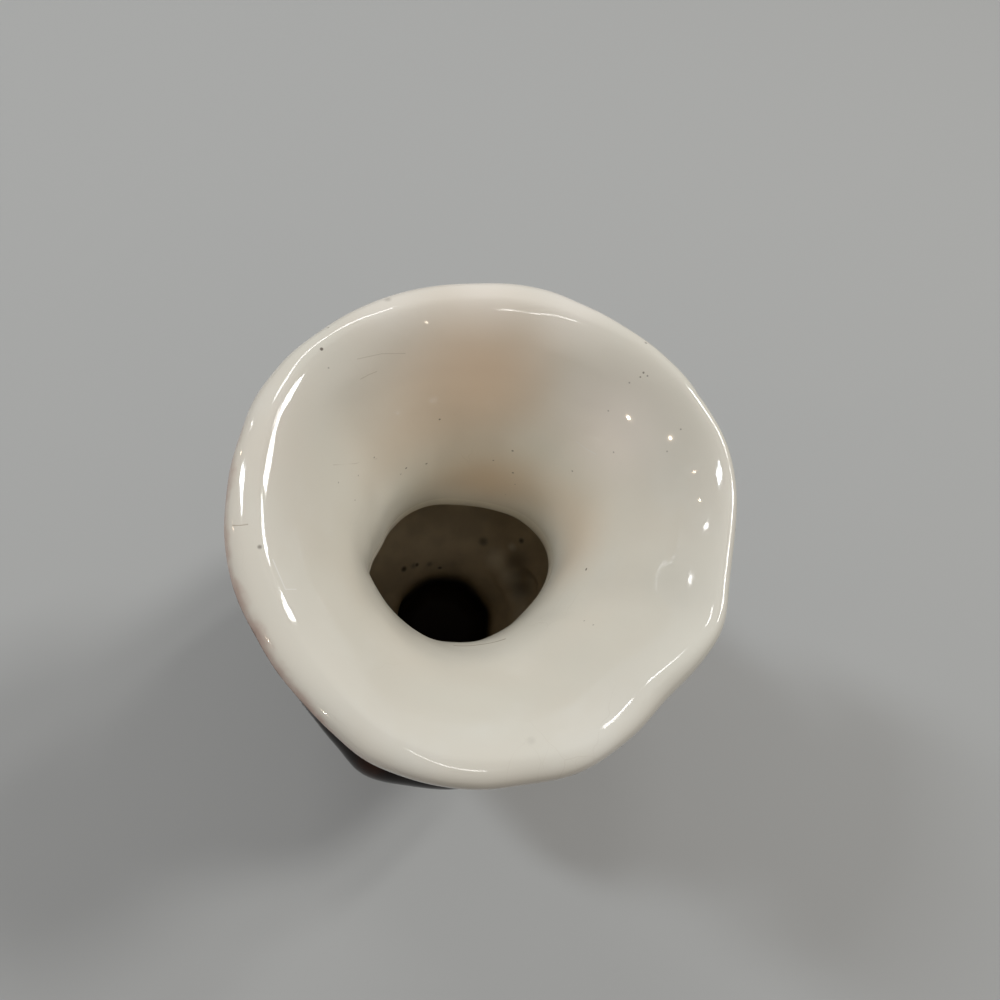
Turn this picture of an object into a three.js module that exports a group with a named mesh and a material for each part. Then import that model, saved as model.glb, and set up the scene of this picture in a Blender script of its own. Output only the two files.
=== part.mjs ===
// Eight-sided bud vase on a pedestal foot, with a trumpet mouth and a rolled lip.
// It is built as a potter builds it: a turned foot ring, a hollow pedestal foot, a panelled
// body, a trumpet mouth and a lip coil, each luted to the next on a flat joint.
// Millimetres, +Z up, origin on the table under the axis of the vase.
import * as THREE from "three";
import { mergeVertices } from "three/addons/utils/BufferGeometryUtils.js";

// Heights of the sections, from the table up
const ringHeight = 3;
const footRise = 27;
const bellyRise = 32;
const shoulderRise = 22;
const trumpetRise = 38.4;

// Outer radii, measured to the middle of a panel
const ringRadius = 26.5;
const footRadius = 30;
const waistRadius = 15.6;
const bellyRadius = 37;
const neckRadius = 18.75;
const mouthRadius = 33.85;

// Walls and the clay of the foot
const wall = 4;
const ringWidth = 4;
const ringChamfer = 0.8;
const footEdgeHeight = 5;
const footEdgeSet = 1.4;
const recessDepth = 6.5;
const recessRadius = 12;
const floorThickness = 4;
const wellCorner = 5;

// Lip coil: rises in line with the trumpet, rolls over a broad crest and turns down at its edge
const lipRise = 3.6;
const lipEdgeDrop = 2.7;
const crestInset = 2.9;
const seatWidth = 6.8;
const lipOverhang = 1.3;

// Reach of the curves that lead into and out of each joint
const footSweep = 5;
const stemReach = 10;
const waistReach = 8;
const bellyReach = 18;
const shoulderReach = 11;
const neckReach = 8;
const throatReach = 17;
const flareReach = 10.5;
const flareLean = 9.5;
const lipReach = 2.4;
const rollReach = 0.9;
const crestReach = 1.9;
const edgeReach = 1.6;

// Panels: corners of the eight-sided form, softened by the glaze and lost in the pinched throat
const panelCount = 8;
const cornerAzimuth = 22.5;
const cornerSharpness = 28;
const panelsAtFoot = 0.85;
const panelsAtWaist = 0.4;
const panelsAtBelly = 1;
const panelsAtLip = 0.19;

// Hand-made irregularity: size in millimetres, and the azimuth in degrees where it is greatest
const bellyLean = { size: 0.5, lobes: 1, azimuth: 70 };
const bellyFullness = { size: 1.4, azimuth: 273, span: 71 };
const bellyDent = { size: -1.2, azimuth: 285.5, span: 31 };
const throatShift = { size: 1.2, lobes: 1, azimuth: 169 };
const throatOval = { size: 1.75, lobes: 2, azimuth: 21 };
const throatTrefoil = { size: 0.37, lobes: 3, azimuth: 11 };
const throatSquare = { size: 0.48, lobes: 4, azimuth: 29 };
const mouthOval = { size: 0.46, lobes: 2, azimuth: 62 };
const mouthTrefoil = { size: 0.5, lobes: 3, azimuth: 33 };
const lipSway = { size: 1.2, lobes: 1, azimuth: 190 };
const lipCorner = { size: 0.8, azimuth: 333, span: 44 };

// Cast relief inside the belly: a low ledge round part of the floor with a pocket behind it
const ledgeRise = 1.2;
const ledgeHeight = 8.5;
const ledgeAzimuth = 32;
const ledgeSpan = 70;
const pocketDepth = 2.2;
const pocketHeight = 11.5;
const pocketAzimuth = 26;
const pocketSpan = 32;
const reliefBand = 4;

// Fineness of the solids
const segments = 64;
const bodySteps = 11;
const trumpetSteps = 11;
const footSteps = 8;
const lipSteps = 4;
const cornerSteps = 3;

// Levels of the joints
const waistLevel = ringHeight + footRise;
const bellyLevel = waistLevel + bellyRise;
const throatLevel = bellyLevel + shoulderRise;
const seatLevel = throatLevel + trumpetRise;
const topLevel = seatLevel + lipRise;
const edgeLevel = topLevel - lipEdgeDrop;

// Flat joint between the trumpet and the lip
const seatOuter = mouthRadius - lipOverhang;
const seatInner = seatOuter - seatWidth;

const bodyClay = new THREE.MeshStandardMaterial({
  name: "dark_glaze",
  color: 0x1c0f0a,
  roughness: 0.14,
  metalness: 0,
});
const creamGlaze = new THREE.MeshStandardMaterial({
  name: "cream_glaze",
  color: 0xd3cfbf,
  roughness: 0.16,
  metalness: 0,
});
const bareClay = new THREE.MeshStandardMaterial({
  name: "bare_clay",
  color: 0xb59a7c,
  roughness: 0.85,
  metalness: 0,
});

const radians = THREE.MathUtils.degToRad;

// A value that passes smoothly through [level, value] stations, and is level beyond the ends.
function alongHeight(z, stations) {
  const last = stations.length - 1;
  if (z <= stations[0][0]) return stations[0][1];
  for (let i = 0; i < last; i++) {
    const [low, from] = stations[i];
    const [high, to] = stations[i + 1];
    if (z <= high) return from + (to - from) * THREE.MathUtils.smoothstep(z, low, high);
  }
  return stations[last][1];
}

// How far a form that repeats round the wall pushes it out at an azimuth.
function swell({ size, lobes, azimuth }, angle) {
  return size * Math.cos(lobes * (angle - radians(azimuth)));
}

// How far a local form pushes the wall out at an azimuth.
function rise({ size, azimuth, span }, angle) {
  return size * bump(turn(angle, azimuth), span);
}

// Ratio of a softened regular polygon's radius to the radius at the middle of a side.
function panelRatio(angle) {
  let sum = 0;
  for (let i = 0; i < panelCount; i++) {
    const side = radians(cornerAzimuth) + ((i + 0.5) * 2 * Math.PI) / panelCount;
    sum += Math.max(0, Math.cos(angle - side)) ** cornerSharpness;
  }
  return sum ** (-1 / cornerSharpness);
}

const panelStations = [
  [ringHeight, panelsAtFoot],
  [waistLevel, panelsAtWaist],
  [bellyLevel, panelsAtBelly],
  [throatLevel, 0],
  [topLevel, panelsAtLip],
];

const bellyStations = [
  [waistLevel, 0],
  [bellyLevel, 1],
  [throatLevel, 0],
];

const throatStations = [
  [bellyLevel, 0],
  [throatLevel, 1],
  [seatLevel, 0],
];

const mouthStations = [
  [throatLevel, 0],
  [seatLevel, 1],
];

// Radius of the finished wall where the plain turned form has radius r at height z.
function shapedRadius(r, z, angle) {
  const panels = r * alongHeight(z, panelStations) * (panelRatio(angle) - 1);
  const belly = swell(bellyLean, angle) + rise(bellyFullness, angle) + rise(bellyDent, angle);
  const throatForms = [throatShift, throatOval, throatTrefoil, throatSquare];
  const throat = throatForms.reduce((sum, form) => sum + swell(form, angle), 0);
  const mouth = swell(mouthOval, angle) + swell(mouthTrefoil, angle) + rise(lipCorner, angle);
  const inward = Math.min(1, (mouthRadius - r) / crestInset);
  const sway = -inward * swell(lipSway, angle);
  return (
    r +
    panels +
    alongHeight(z, bellyStations) * belly +
    alongHeight(z, throatStations) * throat +
    alongHeight(z, mouthStations) * (mouth + sway)
  );
}

// A bump of height 1 at the middle of a span, falling smoothly to 0 at its ends.
function bump(distance, span) {
  const share = Math.min(1, Math.abs(distance) / (span / 2));
  return (1 + Math.cos(Math.PI * share)) / 2;
}

// The shortest way round between two azimuths, in degrees.
function turn(angle, azimuth) {
  return THREE.MathUtils.euclideanModulo(THREE.MathUtils.radToDeg(angle) - azimuth + 180, 360) - 180;
}

// Outward push of the belly's inner wall, negative at the ledge and positive in the pocket.
function castRelief(z, angle) {
  const height = z - waistLevel;
  const ledge = bump(height - ledgeHeight, reliefBand) * bump(turn(angle, ledgeAzimuth), ledgeSpan);
  const pocket = bump(height - pocketHeight, reliefBand) * bump(turn(angle, pocketAzimuth), pocketSpan);
  return pocketDepth * pocket - ledgeRise * ledge;
}

// Points (radius, height) along a cubic curve through four control points.
function sweep(from, handleFrom, handleTo, to, steps) {
  const curve = new THREE.CubicBezierCurve(
    new THREE.Vector2(...from),
    new THREE.Vector2(...handleFrom),
    new THREE.Vector2(...handleTo),
    new THREE.Vector2(...to),
  );
  return { curve, points: curve.getPoints(steps) };
}

// The same curve moved inwards by the wall, square to its run.
function innerFace({ curve, points }) {
  return points.map((point, i) => {
    const run = curve.getTangent(i / (points.length - 1));
    return new THREE.Vector2(point.x - run.y * wall, point.y + run.x * wall);
  });
}

// Revolves a profile about the vertical axis and pushes each point to the finished wall.
// The profile runs anticlockwise as seen with the axis on the left: up the outside, down the inside.
function revolve(profile, relief = () => 0) {
  const geometry = new THREE.LatheGeometry(profile, segments);
  geometry.rotateX(Math.PI / 2);
  geometry.deleteAttribute("normal");
  geometry.deleteAttribute("uv");
  const position = geometry.getAttribute("position");
  for (let i = 0; i < position.count; i++) {
    const { x: r, y: z } = profile[i % profile.length];
    const angle = Math.atan2(position.getY(i), position.getX(i));
    const radius = r < 1e-6 ? 0 : shapedRadius(r, z, angle) + relief(z, angle, i % profile.length);
    position.setXYZ(i, radius * Math.cos(angle), radius * Math.sin(angle), z);
  }
  return mergeVertices(geometry);
}

function piece(name, geometry, material) {
  const mesh = new THREE.Mesh(geometry, material);
  mesh.name = name;
  return mesh;
}

// Turned ring of bare clay that the vase stands on, with both lower edges eased.
function footRing() {
  const inner = ringRadius - ringWidth;
  const profile = [
    new THREE.Vector2(inner + ringChamfer, 0),
    new THREE.Vector2(ringRadius - ringChamfer, 0),
    new THREE.Vector2(ringRadius, ringChamfer),
    new THREE.Vector2(ringRadius, ringHeight),
    new THREE.Vector2(inner, ringHeight),
    new THREE.Vector2(inner, ringChamfer),
    new THREE.Vector2(inner + ringChamfer, 0),
  ];
  return piece("foot_ring", revolve(profile), bareClay);
}

// Spreading foot and hollow stem in one piece: recessed below, with the vase's floor inside.
function pedestalFoot() {
  const ringInner = ringRadius - ringWidth;
  const recessLevel = ringHeight + recessDepth;
  const edgeTop = ringHeight + footEdgeHeight;
  const stemInner = waistRadius - wall;
  const floorLevel = recessLevel + floorThickness;
  const recess = sweep(
    [recessRadius, recessLevel],
    [ringInner, recessLevel],
    [ringInner, recessLevel],
    [ringInner, ringHeight],
    cornerSteps + 1,
  );
  const edge = sweep(
    [footRadius - footEdgeSet, ringHeight],
    [footRadius + footEdgeSet / 3, ringHeight],
    [footRadius + footEdgeSet / 3, edgeTop],
    [footRadius - footEdgeSet, edgeTop],
    cornerSteps + 2,
  );
  const flank = sweep(
    [footRadius - footEdgeSet, edgeTop],
    [footRadius - footEdgeSet - footSweep, edgeTop + footSweep],
    [waistRadius, waistLevel - stemReach],
    [waistRadius, waistLevel],
    footSteps,
  );
  const well = sweep(
    [stemInner, floorLevel + wellCorner],
    [stemInner, floorLevel + wellCorner / 2],
    [stemInner - wellCorner / 2, floorLevel],
    [stemInner - wellCorner, floorLevel],
    cornerSteps,
  );
  const profile = [
    new THREE.Vector2(0, recessLevel),
    ...recess.points,
    ...edge.points,
    ...flank.points.slice(1),
    new THREE.Vector2(stemInner, waistLevel),
    ...well.points,
    new THREE.Vector2(0, floorLevel),
  ];
  return piece("pedestal_foot", revolve(profile), bodyClay);
}

// Eight-sided belly between the waist and the throat.
function panelledBody() {
  const lower = sweep(
    [waistRadius, waistLevel],
    [waistRadius, waistLevel + waistReach],
    [bellyRadius, bellyLevel - bellyReach],
    [bellyRadius, bellyLevel],
    bodySteps,
  );
  const upper = sweep(
    [bellyRadius, bellyLevel],
    [bellyRadius, bellyLevel + shoulderReach],
    [neckRadius, throatLevel - neckReach],
    [neckRadius, throatLevel],
    bodySteps,
  );
  const outside = [...lower.points, ...upper.points.slice(1)];
  const inside = [...innerFace(lower), ...innerFace(upper).slice(1)].reverse();
  const profile = [...outside, ...inside, outside[0].clone()];
  const onInside = (index) => index >= outside.length && index < profile.length - 1;
  const relief = (z, angle, index) => (onInside(index) ? castRelief(z, angle) : 0);
  return piece("panelled_body", revolve(profile, relief), bodyClay);
}

// Trumpet mouth from the throat to the flat seat of the lip.
function trumpetMouth() {
  const throatRadius = neckRadius - wall;
  const outside = sweep(
    [neckRadius, throatLevel],
    [neckRadius, throatLevel + throatReach],
    [seatOuter - flareLean, seatLevel - flareReach - wall / 2],
    [seatOuter, seatLevel],
    trumpetSteps,
  ).points;
  const inside = sweep(
    [throatRadius, throatLevel],
    [throatRadius, throatLevel + throatReach],
    [seatInner - flareLean, seatLevel - flareReach],
    [seatInner, seatLevel],
    trumpetSteps,
  ).points.reverse();
  return piece("trumpet_mouth", revolve([...outside, ...inside, outside[0].clone()]), creamGlaze);
}

// Coil of clay smoothed over the mouth: flat where it seats, soft at its crest and its edge.
function lipCoil() {
  const crestRadius = mouthRadius - crestInset;
  const slope = lipReach / flareReach;
  const under = sweep(
    [seatOuter, seatLevel],
    [mouthRadius, seatLevel],
    [mouthRadius, edgeLevel - edgeReach / 2],
    [mouthRadius, edgeLevel],
    lipSteps,
  ).points;
  const over = sweep(
    [mouthRadius, edgeLevel],
    [mouthRadius, edgeLevel + edgeReach],
    [crestRadius + crestReach, topLevel],
    [crestRadius, topLevel],
    lipSteps,
  ).points;
  const inside = sweep(
    [crestRadius, topLevel],
    [crestRadius - rollReach, topLevel],
    [seatInner + flareLean * slope, seatLevel + lipReach],
    [seatInner, seatLevel],
    lipSteps,
  ).points;
  const profile = [...under, ...over.slice(1), ...inside.slice(1), under[0].clone()];
  return piece("lip_coil", revolve(profile), creamGlaze);
}

const vase = new THREE.Group();
vase.add(footRing(), pedestalFoot(), panelledBody(), trumpetMouth(), lipCoil());

export default vase;
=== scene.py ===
"""A small eight-sided vase on a pedestal foot, glazed cream inside and brown-black outside.

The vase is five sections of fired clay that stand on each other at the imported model's own joints. Each
section is a closed profile carried round the axis on a fine grid. All of them share one formula for the wall:
eight soft panels, a pinched throat, a hand-rolled lip and the slow waves of the glaze. Metres, +Z up, with
the origin on the table under the axis. Azimuths are in degrees from +X towards +Y.
"""
import logging
import math
from dataclasses import dataclass, field
from enum import Enum
from functools import reduce
from typing import ClassVar, Iterable, Sequence

import bpy
import numpy as np
from mathutils import Matrix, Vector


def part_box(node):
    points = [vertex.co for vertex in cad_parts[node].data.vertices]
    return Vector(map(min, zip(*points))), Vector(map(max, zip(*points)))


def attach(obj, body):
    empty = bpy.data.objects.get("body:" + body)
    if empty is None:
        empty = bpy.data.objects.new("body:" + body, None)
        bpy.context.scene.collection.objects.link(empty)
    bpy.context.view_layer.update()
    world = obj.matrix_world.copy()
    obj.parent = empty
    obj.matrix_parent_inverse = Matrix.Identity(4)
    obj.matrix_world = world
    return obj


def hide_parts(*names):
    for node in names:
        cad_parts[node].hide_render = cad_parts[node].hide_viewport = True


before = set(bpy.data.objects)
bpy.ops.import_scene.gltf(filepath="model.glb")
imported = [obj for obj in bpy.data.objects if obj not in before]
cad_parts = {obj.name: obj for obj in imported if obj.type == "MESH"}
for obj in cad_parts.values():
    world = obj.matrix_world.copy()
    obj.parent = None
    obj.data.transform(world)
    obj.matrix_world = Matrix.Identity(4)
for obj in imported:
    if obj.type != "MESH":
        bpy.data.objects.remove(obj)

AZIMUTH_STEPS = 384
CURVE_SAMPLES = 600
EDGE_SAMPLES = 24
ON_AXIS = 1e-9
MILLIMETRE = 0.001
BODY = "root"
VECTOR, VALUE = "NodeSocketVector", "NodeSocketFloat"
MASK = {"Mask": VALUE}

Array = np.ndarray
Node, NodeTree, Socket = bpy.types.Node, bpy.types.NodeTree, bpy.types.NodeSocket
Sockets = dict[str, str]
Pair = tuple[float, float]
Point = tuple[float, float, float]
Colour = tuple[float, float, float]

log = logging.getLogger("vase")


def smooth(value: Array, low: float, high: float) -> Array:
    """3t^2 - 2t^3, with t the share of the way from low to high, held between 0 and 1."""
    share = np.clip((value - low) / (high - low), 0.0, 1.0)
    return share * share * (3.0 - 2.0 * share)


def bump(distance: Array, span: float) -> Array:
    """A raised cosine: 1 at distance 0, falling to 0 at half the span and beyond."""
    share = np.minimum(1.0, np.abs(distance) / (span / 2.0))
    return (1.0 + np.cos(np.pi * share)) / 2.0


def turn_from(angle: Array, azimuth: float) -> Array:
    """The shortest turn from an azimuth to angles in radians, in degrees from -180 to 180."""
    return (np.degrees(angle) - azimuth + 180.0) % 360.0 - 180.0


def along_height(height: Array, *stations: Pair) -> Array:
    """A value that passes smoothly through (height, value) stations and is level beyond the ends.

    Args:
        height: Heights above the table.
        *stations: Pairs of height and value, from the lowest up.

    Returns:
        An array shaped like height.
    """
    value = np.full_like(height, stations[0][1])
    for (low, start), (high, end) in zip(stations, stations[1:]):
        value = np.where(height > low, start + (end - start) * smooth(height, low, high), value)
    return value


def bezier(*controls: Pair) -> Array:
    """Points (radius, height) along a cubic curve through four control points.

    Formula: the sum of the controls weighted (1-t)^3, 3t(1-t)^2, 3t^2(1-t) and t^3, for t from 0 to 1.

    Args:
        *controls: Four (radius, height) pairs.

    Returns:
        Array of (samples, 2).
    """
    t = np.linspace(0.0, 1.0, CURVE_SAMPLES)[:, None]
    weights = np.hstack([(1 - t) ** 3, 3 * t * (1 - t) ** 2, 3 * t**2 * (1 - t), t**3])
    return weights @ np.array(controls, float)


def straight(*points: Pair) -> Array:
    """A run of straight stretches through (radius, height) points."""
    return np.array(points, float)


def evenly(points: Array, step: float) -> Array:
    """Spaces a line's points evenly by length, none further apart than step.

    Args:
        points: Array of (samples, 2).
        step: Longest distance between neighbours.

    Returns:
        Array of (count, 2) with the same ends.
    """
    stretches = np.hypot(*np.diff(points, axis=0).T)
    reached = np.concatenate(([0.0], np.cumsum(stretches)))
    count = max(1, math.ceil(reached[-1] / step))
    marks = np.linspace(0.0, reached[-1], count + 1)
    return np.column_stack([np.interp(marks, reached, column) for column in points.T])


def inner_face(points: Array, wall: float) -> Array:
    """Moves a profile curve inwards by the wall, square to its run.

    Formula: each point moves by the wall along the run turned a quarter turn to the left.

    Args:
        points: Array of (samples, 2), running up the outside.
        wall: Thickness of the wall.

    Returns:
        Array of (samples, 2), in the same order.
    """
    run = np.gradient(points, axis=0)
    run /= np.linalg.norm(run, axis=1, keepdims=True)
    return points + wall * np.column_stack([-run[:, 1], run[:, 0]])


@dataclass(frozen=True)
class Swell:
    """A hand-made irregularity that repeats round the wall.

    Attributes:
        size: Furthest outward push.
        lobes: How often it repeats in a turn.
        azimuth: Where it is greatest.
    """

    size: float
    lobes: int
    azimuth: float

    def push(self, angle: Array) -> Array:
        """Outward push: size times the cosine of lobes times the turn from the azimuth."""
        return self.size * np.cos(self.lobes * (angle - math.radians(self.azimuth)))


@dataclass(frozen=True)
class Rise:
    """A local rise of the wall, or a dent where its size is negative.

    Attributes:
        size: Outward push in its middle.
        azimuth: Its middle.
        span: Full width in degrees.
    """

    size: float
    azimuth: float
    span: float

    def push(self, angle: Array) -> Array:
        """Outward push: size times a raised cosine of the turn from the azimuth."""
        return self.size * bump(turn_from(angle, self.azimuth), self.span)


Forms = tuple[Swell | Rise, ...]


def pushed(forms: Forms, angle: Array) -> Array:
    """The sum of the outward pushes of several irregularities."""
    return sum(form.push(angle) for form in forms)


@dataclass(frozen=True)
class GlazeWaves:
    """Slow unevenness of wall and glaze, as a sum of sine waves that run in seeded random directions.

    Attributes:
        size: Standard height of the waves.
        longest: Longest wavelength.
        shortest: Shortest wavelength.
        count: Number of waves.
        seed: Seed of the directions and phases.
    """

    size: float
    longest: float
    shortest: float
    count: int
    seed: int

    def height(self, points: Array) -> Array:
        """Height of the waves at points in space.

        Formula: the sum of sin(k . p + phase) over the waves, times size and the root of 2 / count.

        Args:
            points: Array of (..., 3).

        Returns:
            Array of (...).
        """
        random = np.random.default_rng(self.seed)
        ways = random.normal(size=(self.count, 3))
        ways /= np.linalg.norm(ways, axis=1, keepdims=True)
        lengths = np.geomspace(self.longest, self.shortest, self.count)
        waves = ways * (2.0 * np.pi / lengths)[:, None]
        phases = random.uniform(0.0, 2.0 * np.pi, self.count)
        total = np.sin(points @ waves.T + phases).sum(axis=-1)
        return self.size * math.sqrt(2.0 / self.count) * total


@dataclass(frozen=True)
class VaseForm:
    """Levels, radii and irregularities that every section shares.

    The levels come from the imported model's joints. The radii are measured to the middle of a panel.

    Attributes:
        crest_inset: How far the lip's crest lies inside the mouth's radius.
        flare_reach: Length of the trumpet's last run, and flare_lean its way outwards.
        rock_limit: How far inwards the lip's rock keeps growing, in halves of the crest's inset.
        lip_ease: By how much the surface is lowered inside the crest.
        ease_start: How far inside the mouth's radius the lowering begins, and ease_end where it is whole.
    """

    ring_top: float
    waist: float
    throat: float
    seat: float
    top: float

    belly_rise: float = 0.032
    ring_radius: float = 0.0265
    ring_width: float = 0.004
    foot_radius: float = 0.030
    waist_radius: float = 0.0156
    belly_radius: float = 0.037
    neck_radius: float = 0.01875
    mouth_radius: float = 0.03385
    wall: float = 0.004
    lip_overhang: float = 0.0013
    seat_width: float = 0.0068
    crest_inset: float = 0.0029
    flare_reach: float = 0.0105
    flare_lean: float = 0.0095

    panel_count: int = 8
    corner_azimuth: float = 22.5
    corner_sharpness: int = 28
    panels_at_foot: float = 0.85
    panels_at_waist: float = 0.4
    panels_at_belly: float = 1.0
    panels_at_lip: float = 0.19

    belly_forms: Forms = (
        Swell(0.0005, 1, 70), Rise(0.0014, 273, 71), Rise(-0.0012, 285.5, 31),
    )
    throat_forms: Forms = (
        Swell(0.0012, 1, 169), Swell(0.00175, 2, 21), Swell(0.00037, 3, 11), Swell(0.00048, 4, 29),
    )
    mouth_forms: Forms = (
        Swell(0.00046, 2, 62), Swell(0.0005, 3, 33), Rise(0.0008, 333, 44),
    )
    lip_sway: Forms = (
        Swell(0.0012, 1, 190), Rise(-0.0008, 150, 80), Rise(0.0010, 82, 80),
    )
    lip_ripples: Forms = (
        Swell(0.00011, 1, 136), Swell(0.00008, 4, 1), Swell(0.00011, 5, 25), Swell(0.00017, 6, 22),
        Swell(0.00008, 7, -17), Swell(0.00006, 9, 11.5), Swell(0.00009, 10, 10), Rise(-0.0006, 50, 260),
        Rise(-0.0003, 330, 60), Rise(0.0005, 281, 70),
    )
    throat_ripples: Forms = (
        Rise(-0.0005, 34, 60), Rise(-0.0006, 112, 84), Rise(-0.0003, 168, 24), Rise(0.0006, 198, 30),
        Rise(-0.0003, 228, 30), Rise(0.0003, 275, 60),
    )
    lip_heave: Forms = (Swell(0.00012, 5, 40), Swell(0.00009, 9, 12))
    lip_rock: Forms = (Swell(0.0001, 9, 181), Swell(0.00006, 5, 70))
    lip_nick: Rise = Rise(-0.0002, 34.0, 3.4)
    lip_ease: Forms = (Rise(0.0003, 250, 100), Rise(0.0018, 4, 100))
    rock_limit: float = 1.5
    ease_start: float = 0.0014
    ease_end: float = 0.0090
    waves: GlazeWaves = GlazeWaves(0.00006, 0.022, 0.007, 14, 11)

    @classmethod
    def from_frame(cls) -> "VaseForm":
        """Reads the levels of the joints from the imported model's own nodes."""
        return cls(
            ring_top=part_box("foot_ring")[1].z,
            waist=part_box("pedestal_foot")[1].z,
            throat=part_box("panelled_body")[1].z,
            seat=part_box("trumpet_mouth")[1].z,
            top=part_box("lip_coil")[1].z,
        )

    @property
    def belly(self) -> float:
        """Level of the belly's widest line."""
        return self.waist + self.belly_rise

    @property
    def ring_inner(self) -> float:
        """Inner radius of the foot ring."""
        return self.ring_radius - self.ring_width

    @property
    def seat_outer(self) -> float:
        """Outer radius of the joint under the lip."""
        return self.mouth_radius - self.lip_overhang

    @property
    def seat_inner(self) -> float:
        """Inner radius of the joint under the lip."""
        return self.seat_outer - self.seat_width

    def panel_ratio(self, angle: Array) -> Array:
        """Radius of a softened regular polygon over its radius at the middle of a side.

        Formula: the sum of the positive cosines of the turns from each side's middle, each raised to the
        sharpness, and the sum raised to minus one over the sharpness.

        Args:
            angle: Angles in radians.

        Returns:
            Array shaped like angle.
        """
        sides = np.radians(self.corner_azimuth + (np.arange(self.panel_count) + 0.5) * 360 / self.panel_count)
        nearness = np.maximum(0.0, np.cos(angle[..., None] - sides)) ** self.corner_sharpness
        return nearness.sum(axis=-1) ** (-1.0 / self.corner_sharpness)

    def panels(self, height: Array) -> Array:
        """How strongly the panels show, from 0 for round to 1 for the full polygon.

        Args:
            height: Heights above the table.

        Returns:
            Array shaped like height.
        """
        return along_height(
            height,
            (self.ring_top, self.panels_at_foot),
            (self.waist, self.panels_at_waist),
            (self.belly, self.panels_at_belly),
            (self.throat, 0.0),
            (self.top, self.panels_at_lip),
        )

    def radius(self, radius: Array, height: Array, angle: Array) -> Array:
        """Radius of the finished wall where the plain turned form has a radius at a height.

        Formula: the turned radius, plus the panels' share of it, plus the belly's forms faded in and out
        round its widest line, plus the throat's forms faded in and out round the throat, plus the mouth's
        forms less the lip's sway, both faded in above it. The sway is whole from the crest inwards.

        Args:
            radius: Turned radii, (points, 1).
            height: Heights, (points, 1).
            angle: Angles in radians, (1, steps).

        Returns:
            Array of (points, steps).
        """
        bulge = along_height(height, (self.waist, 0.0), (self.belly, 1.0), (self.throat, 0.0))
        pinch = along_height(height, (self.belly, 0.0), (self.throat, 1.0), (self.seat, 0.0))
        spread = along_height(height, (self.throat, 0.0), (self.seat, 1.0))
        inward = np.minimum(1.0, (self.mouth_radius - radius) / self.crest_inset)
        mouth = pushed(self.mouth_forms + self.lip_ripples, angle) - inward * pushed(self.lip_sway, angle)
        return (
            radius
            + radius * self.panels(height) * (self.panel_ratio(angle) - 1.0)
            + bulge * pushed(self.belly_forms, angle)
            + pinch * pushed(self.throat_forms + self.throat_ripples, angle)
            + spread * mouth
        )

    def surface(self, radius: Array, height: Array, angle: Array, relief: Array | float = 0.0) -> Array:
        """Points of the finished surface, with the lip's heave and the waves of the glaze.

        Formula: the wall's radius and height, lifted near the lip by its heave and by its rock, which tips
        the crest outwards or inwards, lowered inside the crest where the roll is tight, notched by the nick,
        and pushed out from the axis by the glaze's waves. The lowering fades out down the funnel.

        Args:
            radius: Turned radii, (points, 1).
            height: Heights, (points, 1).
            angle: Angles in radians, (1, steps).
            relief: Outward push of cast relief, (points, steps).

        Returns:
            Array of (points, steps, 3).
        """
        mouth, half = self.mouth_radius, self.crest_inset / 2
        lipward = smooth(height, self.seat, self.top)
        outward = np.clip((radius - (mouth - half)) / half, -self.rock_limit, 1.0)
        lift = lipward * (pushed(self.lip_heave, angle) + outward * pushed(self.lip_rock, angle))
        inner = smooth(radius, mouth - self.ease_start, mouth - self.ease_end)
        lift = lift - inner * smooth(height, self.throat, self.seat) * pushed(self.lip_ease, angle)
        edge = lipward * smooth(radius, mouth - 2 * self.lip_overhang, mouth)
        wall = self.radius(radius, height, angle) + relief + edge * self.lip_nick.push(angle)
        points = np.stack([wall * np.cos(angle), wall * np.sin(angle), height + lift], axis=-1)
        off_axis, off_table = smooth(radius, 0.0, self.ring_width), smooth(height, 0.0, self.ring_top)
        wave = self.waves.height(points) * off_axis * off_table
        points[..., 0] += wave * np.cos(angle)
        points[..., 1] += wave * np.sin(angle)
        return points


class Face(Enum):
    """Which way a stretch of a section's profile faces."""

    OUTSIDE = "outside"
    INSIDE = "inside"
    JOINT = "joint"
    UNDERSIDE = "underside"


@dataclass(frozen=True)
class Run:
    """A stretch of a profile between two corners.

    Attributes:
        face: Which way it faces.
        points: Array of (samples, 2), radius and height.
    """

    face: Face
    points: Array


@dataclass
class Profile:
    """The runs of a section joined into one line, up the outside and down the inside.

    Attributes:
        runs: The runs in order, each starting where the last one ends.
        step: Longest distance between points.
    """

    runs: Sequence[Run]
    step: float
    points: Array = field(init=False)
    inside: Array = field(init=False)
    underside: Array = field(init=False)
    corners: Array = field(init=False)

    def __post_init__(self) -> None:
        """Spaces each run evenly and joins them. A joint's first point goes with the face that it ends."""
        pieces = [evenly(run.points, self.step)[:-1] for run in self.runs]
        last = self.runs[-1].points[-1:]
        on_axis = last[0, 0] < ON_AXIS
        faces = [np.full(len(piece), i) for i, piece in enumerate(pieces)]
        for i, run in enumerate(self.runs):
            if run.face is Face.JOINT:
                faces[i][0] = i - 1
        if on_axis:
            pieces.append(last)
            faces.append(np.array([len(self.runs) - 1]))
        self.points = np.vstack(pieces)
        which = np.concatenate(faces)
        self.inside = self._mask(which, Face.INSIDE)
        self.underside = self._mask(which, Face.UNDERSIDE)
        starts = np.cumsum([0] + [len(piece) for piece in pieces[: len(self.runs) - 1]])
        self.corners = starts[1:] if on_axis else starts

    def _mask(self, which: Array, face: Face) -> Array:
        """1 at the points whose run has the face, and 0 at the others, as a column."""
        chosen = [i for i, run in enumerate(self.runs) if run.face is face]
        return np.isin(which, chosen).astype(float)[:, None]

    @property
    def has_poles(self) -> bool:
        """Whether the line starts and ends on the axis."""
        return bool(self.points[0, 0] < ON_AXIS)


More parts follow.
